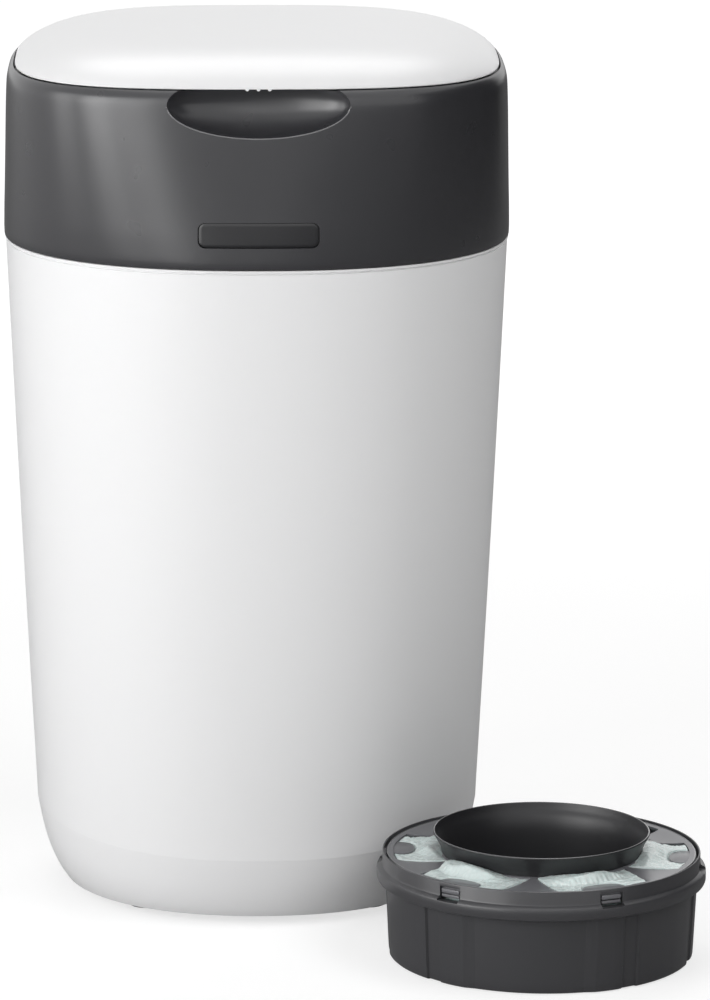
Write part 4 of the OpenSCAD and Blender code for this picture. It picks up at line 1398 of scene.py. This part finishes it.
        # The beads are dressed in the lighter lip grey: a painted highlight line on the dark neck rim; on the cap
        # edge it is about the cap's own grey.
        beads = ((self.neck_r - 0.48, self.neck - 0.3, 0.36), (self.lip_r - 2.6, self.cap - 0.2, 0.42))
        for piece, name, material, slot, *nodes in (
                (self.wall(), "refill_tub", finish.tub, "cassette_grey", "cassette_tub"),
                (self.core(), "refill_core", finish.core, "core_grey", "cassette_core"),
                (self.lid_plate(), "refill_cap", finish.cap, "cap_grey", "cassette_cap"),
                (join([self.bead(*b) for b in beads], "beads"), "refill_edges", finish.lip, "cap_grey"),
                (self.film(), "refill_film", finish.film, "film", "film_pleats")):
            settle(self.place(named(piece, name)), material, "bucket", slot, *nodes)


@dataclass
class Works:
    """The inner parts that keep their own shapes and only get their finish."""

    nodes: dict[str, Piece]
    sharp: float = 28.0

    def dress(self, finish: Finishes) -> None:
        """Gives each part that shows its finish.

        Args:
            finish: Every finish.
        """
        table: list[tuple[Material, tuple[str, ...]]] = [
            (finish.rubber, ("rubber_feet", "rim_gasket", "lid_seal", "grip_pads")),
            (finish.steel, ("head_hinge_pin", "deck_screws", "petal_pins", "ring_screws", "cutter_blade", "pawl_pin",
                            "lid_hinge_pin", "liner_screws", "click_pawl")),
            (finish.deck, ("funnel_deck", "petal_ring")),
            (finish.works, ("cutter_guard", "click_ring", *(f"petal_{i}" for i in range(1, 7)))),
            (finish.liner, ("lid_liner",)),
            (finish.cup, ("twist_cup",)),
            (finish.shell, ("catch_striker",)),
        ]
        for material, names in table:
            for name in names:
                part = self.nodes[name]
                part.data.materials.clear()
                part.data.materials.append(material)
                smooth(part, self.sharp)
                log.info("%s dressed in %s", name, material.name)


@dataclass
class Studio:
    """Camera, lamps and pale floor."""

    camera_at: Triple = (-0.0254, -3.1571, 0.8859)
    pitch: float = 0.2122
    yaw: float = -0.00803
    lens: float = 218.62
    shift: float = 0.0985
    aim: Triple = (0.0, 0.0, 0.22)
    sheen_way: Triple = (-1.294, -0.433, 0.0)
    fill: float = 0.1
    boxes: tuple[tuple[str, float, float, float, Pair, float], ...] = (
        ("key_inner", -28.0, 12.0, 1.35, (0.42, 0.96), 3.8),
        ("key_middle", -48.0, 12.0, 1.35, (0.42, 0.96), 6.4),
        ("key_outer", -75.0, 12.0, 1.35, (0.42, 0.96), 3.1),
        ("top", 0.0, 85.0, 2.2, (1.3, 1.3), 2.8),
        ("top_rear", 0.0, 120.0, 2.2, (1.3, 1.3), 16.9),
        ("front", 0.0, 25.0, 2.6, (1.0, 1.0), 2.0),
        ("side", 40.0, 25.0, 2.6, (1.0, 1.0), 6.1),
        ("side_high", 60.0, 50.0, 2.2, (1.0, 1.0), 13.6),
    )

    def camera(self) -> None:
        """Places the camera as the photograph's."""
        data = bpy.data.cameras.new("camera")
        data.lens = self.lens
        data.sensor_width = 36.0
        data.shift_x = self.shift
        data.clip_start, data.clip_end = 0.05, 60.0
        camera = bpy.data.objects.new("camera", data)
        camera.location = self.camera_at
        camera.rotation_euler = (math.pi / 2 - self.pitch, 0.0, self.yaw)
        bpy.context.scene.collection.objects.link(camera)
        bpy.context.scene.camera = camera

    def lamp(self, name: str, turn: float, rise: float, away: float, size: Pair, power: float) -> None:
        """Adds a soft box that faces the object.

        Args:
            name: Name of the lamp.
            turn: Degrees from the front, positive to the right.
            rise: Degrees above the aim.
            away: Distance in metres.
            size: Width and height in metres.
            power: Power in watts.
        """
        data = bpy.data.lights.new(name, "AREA")
        data.shape = "RECTANGLE"
        data.size, data.size_y = size
        data.energy = power
        lamp = bpy.data.objects.new(name, data)
        side, up = math.radians(turn), math.radians(rise)
        reach = Vector((math.cos(up) * math.sin(side), -math.cos(up) * math.cos(side), math.sin(up))) * away
        lamp.location = Vector(self.aim) + reach
        lamp.rotation_euler = (-reach).to_track_quat("-Z", "Y").to_euler()
        lamp.visible_glossy = not name.startswith("side")
        bpy.context.scene.collection.objects.link(lamp)

    def flag(self) -> None:
        """Stands a black card on the right that only gloss sees."""
        piece = Draft().block((1300, -1100, 0), (1304, 1900, 1700)).make("flag")
        g = Graph("flag_black")
        g.shader.inputs["Base Color"].default_value = (0.0, 0.0, 0.0, 1.0)
        g.value("Specular IOR Level", 0.0)
        piece.data.materials.append(g.material)
        for ray in ("camera", "diffuse", "shadow", "transmission", "volume_scatter"):
            setattr(piece, f"visible_{ray}", False)

    def world(self) -> None:
        """Makes the world white where it is seen and a plain fill elsewhere."""
        world = bpy.data.worlds.new("studio")
        bpy.context.scene.world = world
        world.use_nodes = True
        tree = Tree(world.node_tree)
        rays = tree.add("LightPath", {}).outputs
        seen = rays["Is Camera Ray"]
        for ray in ("Is Transmission Ray", "Is Glossy Ray"):
            seen = tree.add("Math", {0: seen, 1: rays[ray]}, operation="ADD", use_clamp=True).outputs[0]
        light, white = (tree.add("Background", {"Color": WHITE, "Strength": s}).outputs[0] for s in (self.fill, 1.0))
        tree.add("OutputWorld", {0: tree.add("MixShader", {0: seen, 1: light, 2: white}).outputs[0]})

    def floor(self) -> None:
        """Lays a pale floor that keeps a soft shadow."""
        piece = Draft().block((-9000, -9000, -20), (9000, 9000, -0.3)).make("floor")
        g = Graph("floor_pale")
        g.nodes.remove(g.shader)
        away = g.add("VectorMath", {0: g.place}, operation="LENGTH").outputs["Value"]
        across = g.add("VectorMath", {0: g.place, 1: self.sheen_way}, operation="DOT_PRODUCT").outputs["Value"]
        pale = g.blend(g.noise(3.0), (0.40,) * 3, (0.42,) * 3)
        back = g.blend(g.span(away, 0.0, 1.0, 0.1, 0.5), (0.68,) * 3, (0.84,) * 3)
        lit, bounce = (g.add("BsdfDiffuse", {0: colour}).outputs[0] for colour in (pale, back))
        powers = (g.span(away, 0.68, 1.0, 0.3, 2.2, "SMOOTHSTEP"), g.span(across, 0.16, 0.85, 0.523, 2.173))
        glow, sheen = (g.add("Emission", {"Strength": power}).outputs[0] for power in powers)
        rays = g.add("LightPath", {}).outputs
        seen = g.add("AddShader", {0: lit, 1: glow}).outputs[0]
        other = g.add("MixShader", {0: rays["Is Glossy Ray"], 1: bounce, 2: sheen}).outputs[0]
        shown = g.add("MixShader", {0: rays["Is Camera Ray"], 1: other, 2: seen}).outputs[0]
        g.links.new(shown, g.output.inputs[0])
        piece.data.materials.append(g.material)

    def build(self) -> None:
        """Sets up the whole studio."""
        bpy.context.scene.view_settings.view_transform = "Standard"
        self.camera()
        self.world()
        for name, turn, rise, away, size, power in self.boxes:
            self.lamp(name, turn, rise, away, size, power)
        self.floor()
        self.flag()
        log.info("studio: camera, %d lamps and floor", len(self.boxes))


def main() -> None:
    """Builds every sub-assembly in order."""
    logging.basicConfig(level=logging.INFO, format="%(name)s: %(message)s")
    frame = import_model()
    Studio().build()
    finish = Finishes()
    Works(frame["nodes"]).dress(finish)
    Bucket().build(finish)
    Collar().build(finish)
    Lid().build(finish)
    Cassette().build(finish)
    log.info("box written")


if __name__ == "__main__":
    main()
